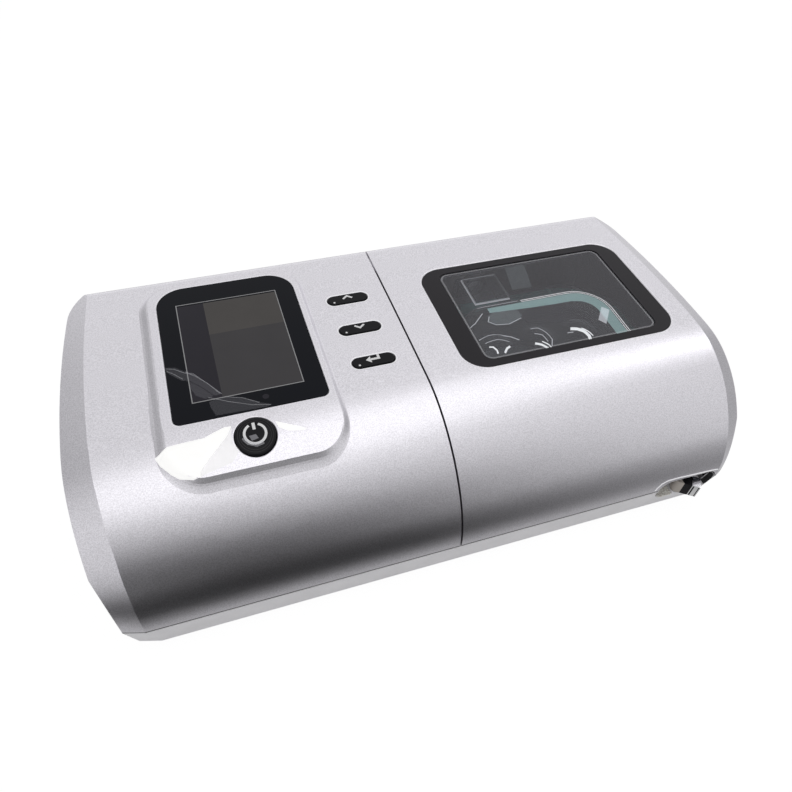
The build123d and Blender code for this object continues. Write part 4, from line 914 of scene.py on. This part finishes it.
dome = {
    # the clear dome's outline in plan, millimetres
    "left": 37.5,
    "right": 122.5,
    "rear": 24.15,
    "corner": 22.0,
    "rearLine": (16.0, 46.0),              # start and end of the rear line, from the left
    "tail": (5, 12, 22),                   # points along the right-hand end, past the corner
    "edge": ((3.5, 0.5), (4.7, 0.3)),      # painted highlight lines: how far in from the outline, width
    "edgeSkips": 4,                        # points of the rear line left without a painted highlight
    "fade": (11.0, 0.4),                   # thin soft painted highlight before them: start, width
    "seal": (5.2, 11.5),                   # band of the seal's teal seen through the dome's wall, a sheet with painted glow
    "sealTaper": (0.45, 8),                # narrower by this share at first, over these points
    # painted shade: the dark hollow seen inside the dome
    "hollow": (
        (69.3, 10.6), (76.6, 13.6), (85.5, 13.8), (93.4, 11.7), (99.7, 6.8), (103.4, -0.7),
        (103.8, -6.4), (94.6, -4.0), (86.7, -1.1), (76.1, 0.9), (68.8, 3.6),
    ),
    # painted soft highlight on the dome
    "gleam": ((113.7, 4.8), (106.9, -4.0), (109.4, -7.9), (116.7, 1.5)),
    # painted pale haze, glowing
    "lobe": (
        (51.5, 13.4), (49.8, 9.4), (53.1, 6.0), (59.9, 4.8), (66.0, 6.6), (69.3, 9.8),
        (68.6, 13.6), (62.0, 16.0), (55.6, 15.6),
    ),
    # painted glints on the bumps: width, plan points
    "glints": (
        (1.9, ((87.5, -8.4), (90.4, -10.0), (93.2, -12.3), (94.8, -15.0), (94.8, -17.6))),
        (0.7, ((92.7, -10.0), (95.5, -12.6), (97.3, -15.0))),
        (1.1, ((65.3, -13.1), (68.3, -14.8), (70.8, -16.9), (71.8, -18.9))),
        (0.6, ((69.0, -13.2), (72.0, -15.4), (73.5, -17.5))),
        (0.8, ((41.8, -9.9), (43.5, -10.7), (44.6, -13.1), (44.5, -14.8))),
        (1.0, ((48.1, -15.1), (50.1, -12.9), (52.5, -11.5))),
    ),
    "glintStep": 0.8,
    # softer painted glints: width, plan points
    "softGlints": (
        (0.6, ((39.9, -2.4), (45.4, -1.1), (51.5, -1.1), (56.8, -4.0), (59.9, -7.1))),
        (0.5, ((41.1, -6.8), (47.6, -6.5), (53.6, -8.2))),
        (0.6, ((67.8, -2.8), (71.6, -3.1), (74.0, -7.9), (75.3, -12.4), (73.5, -16.0))),
        (0.5, ((67.5, -7.4), (70.9, -9.4), (72.2, -13.7))),
        (0.5, ((87.8, -11.0), (85.2, -9.9))),
        (0.5, ((49.6, 16.0), (42.8, 9.7), (39.5, 8.0))),
        (0.4, ((52.0, 12.8), (50.0, 9.4), (53.1, 6.2), (59.9, 5.1), (68.0, 7.8))),
    ),
    # square of the moulded frame, drawn as painted soft highlight lines
    "frame": (51.5, 71.5, 28.15, 49.15),
    "frameWidth": 0.5,
    # a glowing pale patch, painted light, on the wall behind: along, height; pushed back from
    # here
    "panel": ((84.3, 51.5), (97.7, 48.9), (108.5, 27.8), (94.7, 28.3)),
    "panelFrom": (0, 60, 0),
}


def domePath(inward, start=dome["rearLine"][0]):
    # round the rear and the right-hand end of the dome
    r = dome["corner"] - inward
    x1, y1 = dome["right"] - inward, dome["rear"] - inward
    end = dome["rearLine"][1]
    path = [(dome["left"] + start + i * (end - start) / 6, y1) for i in range(7)]
    path += arcPoints(x1 - r, y1 - r, r, 90, 0, 24)
    return path + [(x1, y1 - r - past) for past in dome["tail"]]


def addBand(bm, outer, inner):
    # flat band between two lines with the same count of points
    lines = [[bm.verts.new((*mm(x, y), 0)) for x, y in line] for line in (outer, inner)]
    for a, b, c, d in zip(lines[0], lines[0][1:], lines[1][1:], lines[1]):
        bm.faces.new((a, b, c, d))


def onCover(bm, name, finish, layer="domeEdge"):
    layOn(bm, coverHeight, layer)
    finishPiece(bm, name, finish, "chassis")


def addGlints(bm, glints):
    for width, line in glints:
        addStrip(bm, line, width, longest=dome["glintStep"])


def sealBand():
    # the seal's near and far line, closer together where the band starts
    near, far = dome["seal"]
    share, count = dome["sealTaper"]
    outer, inner = domePath(near), []
    for i, ((x, y), (a, b)) in enumerate(zip(domePath(far), outer)):
        pull = share * max(0, 1 - i / count)
        inner.append((x + (a - x) * pull, y + (b - y) * pull))
    return outer, inner


def domeGlints():
    # painted highlights and reflections on the dome, all glowing
    skips = dome["edgeSkips"]
    bm = bmesh.new()
    for inward, width in dome["edge"]:
        addStrip(bm, domePath(inward)[skips:], width)
    addGlints(bm, dome["glints"])
    onCover(bm, "domeGlints", "brightHighlight")
    start, width = dome["fade"]
    bm = bmesh.new()
    addStrip(bm, domePath(dome["edge"][0][0], start)[:skips + 1], width)
    addGlints(bm, dome["softGlints"])
    x0, x1, y0, y1 = dome["frame"]
    square = [(x0, y0), (x1, y0), (x1, y1), (x0, y1)]
    addStrip(bm, square, dome["frameWidth"], closed=True, longest=2)
    onCover(bm, "domeSoftGlints", "softHighlight")
    # the seal's teal as a glowing sheet: its colour is real, its glow is painted light
    bm = bmesh.new()
    addBand(bm, *sealBand())
    onCover(bm, "sealSeen", "sealGlowTint", "domeSeal")
    # painted shade in the hollow, painted soft highlight on the gleam, glowing painted haze on
    # the lobe
    for name, finish in (("hollow", "paintedShadeDark"), ("gleam", "softHighlight"), ("lobe", "paleGlow")):
        bm = bmesh.new()
        addPatch(bm, dome[name])
        onCover(bm, name + "Seen", finish, "domePatch")


def wallGlowPatch():
    # painted light: a glowing pale patch on the wall behind the dome
    bm = bmesh.new()
    addPatch(bm, dome["panel"], longest=60)
    standUp(bm, out=dome["panelFrom"])
    pushOnto(bm, "hinge_wall", (0, 1, 0))
    finishPiece(bm, "wallGlowPatch", "paleGlow", "chassis")


windowEdges()
domeGlints()
wallGlowPatch()
print("window edges placed")


# latch recess at the lower front right

latch = {
    # painted highlight along the lid's front at the recess: along, height; pushed back from here
    "rim": (
        (103.6, 21.6), (104.2, 23.6), (105.9, 26.0), (109.0, 27.3), (115.8, 27.4),
        (121.8, 27.0), (127.7, 26.7), (135.5, 26.3), (139.5, 25.6),
    ),
    "rimWidth": 0.9,
    "rimFrom": (0, -86, 0),
    "faceTurn": 35.0,                        # degrees the trim's near face turns from the front
    "faceFrom": (125.4, -89.7, 0.0),
    "stripes": ((-0.6, 0.7), (1.9, 0.45)),   # painted shade lines on the trim's end: how far along, width
    "stripeRows": (12.9, 20.3),
    # painted shade on the recess's far end: distance ahead, height
    "shade": ((79.0, 12.2), (86.4, 12.2), (86.4, 20.6), (79.0, 20.6)),
    "shadeFrom": (136, 0, 0),
    "shadeReach": 6,
}


def recessShade():
    # painted shade: a dark sheet on the far end of the recess
    bm = bmesh.new()
    addPatch(bm, latch["shade"], longest=1.5)
    standUp(bm, (1, 0, 0), latch["shadeFrom"])
    pushOnto(bm, "base_tray", (1, 0, 0), reach=latch["shadeReach"])
    finishPiece(bm, "recessShade", "darkPlasticAndShade", "chassis")


def latchDetails():
    # painted highlight along the lid's front at the recess
    bm = bmesh.new()
    addStrip(bm, latch["rim"], latch["rimWidth"])
    standUp(bm, out=latch["rimFrom"])
    pushOnto(bm, "humidifier_lid", (0, 1, 0))
    finishPiece(bm, "recessRimHighlight", "edgeHighlight", "lid", smooth=True)
    turn = math.radians(latch["faceTurn"])
    way = (math.sin(turn), math.cos(turn), 0)
    low, high = latch["stripeRows"]
    # painted shade: dark lines on the trim's bright end
    bm = bmesh.new()
    for along, width in latch["stripes"]:
        addStrip(bm, [(along, low), (along, high)], width)
    standUp(bm, way, latch["faceFrom"])
    pushOnto(bm, "latch_trim", way)
    finishPiece(bm, "trimShadeLines", "buttonBlackAndShade", "latch")


latchDetails()
recessShade()
print("latch details placed")
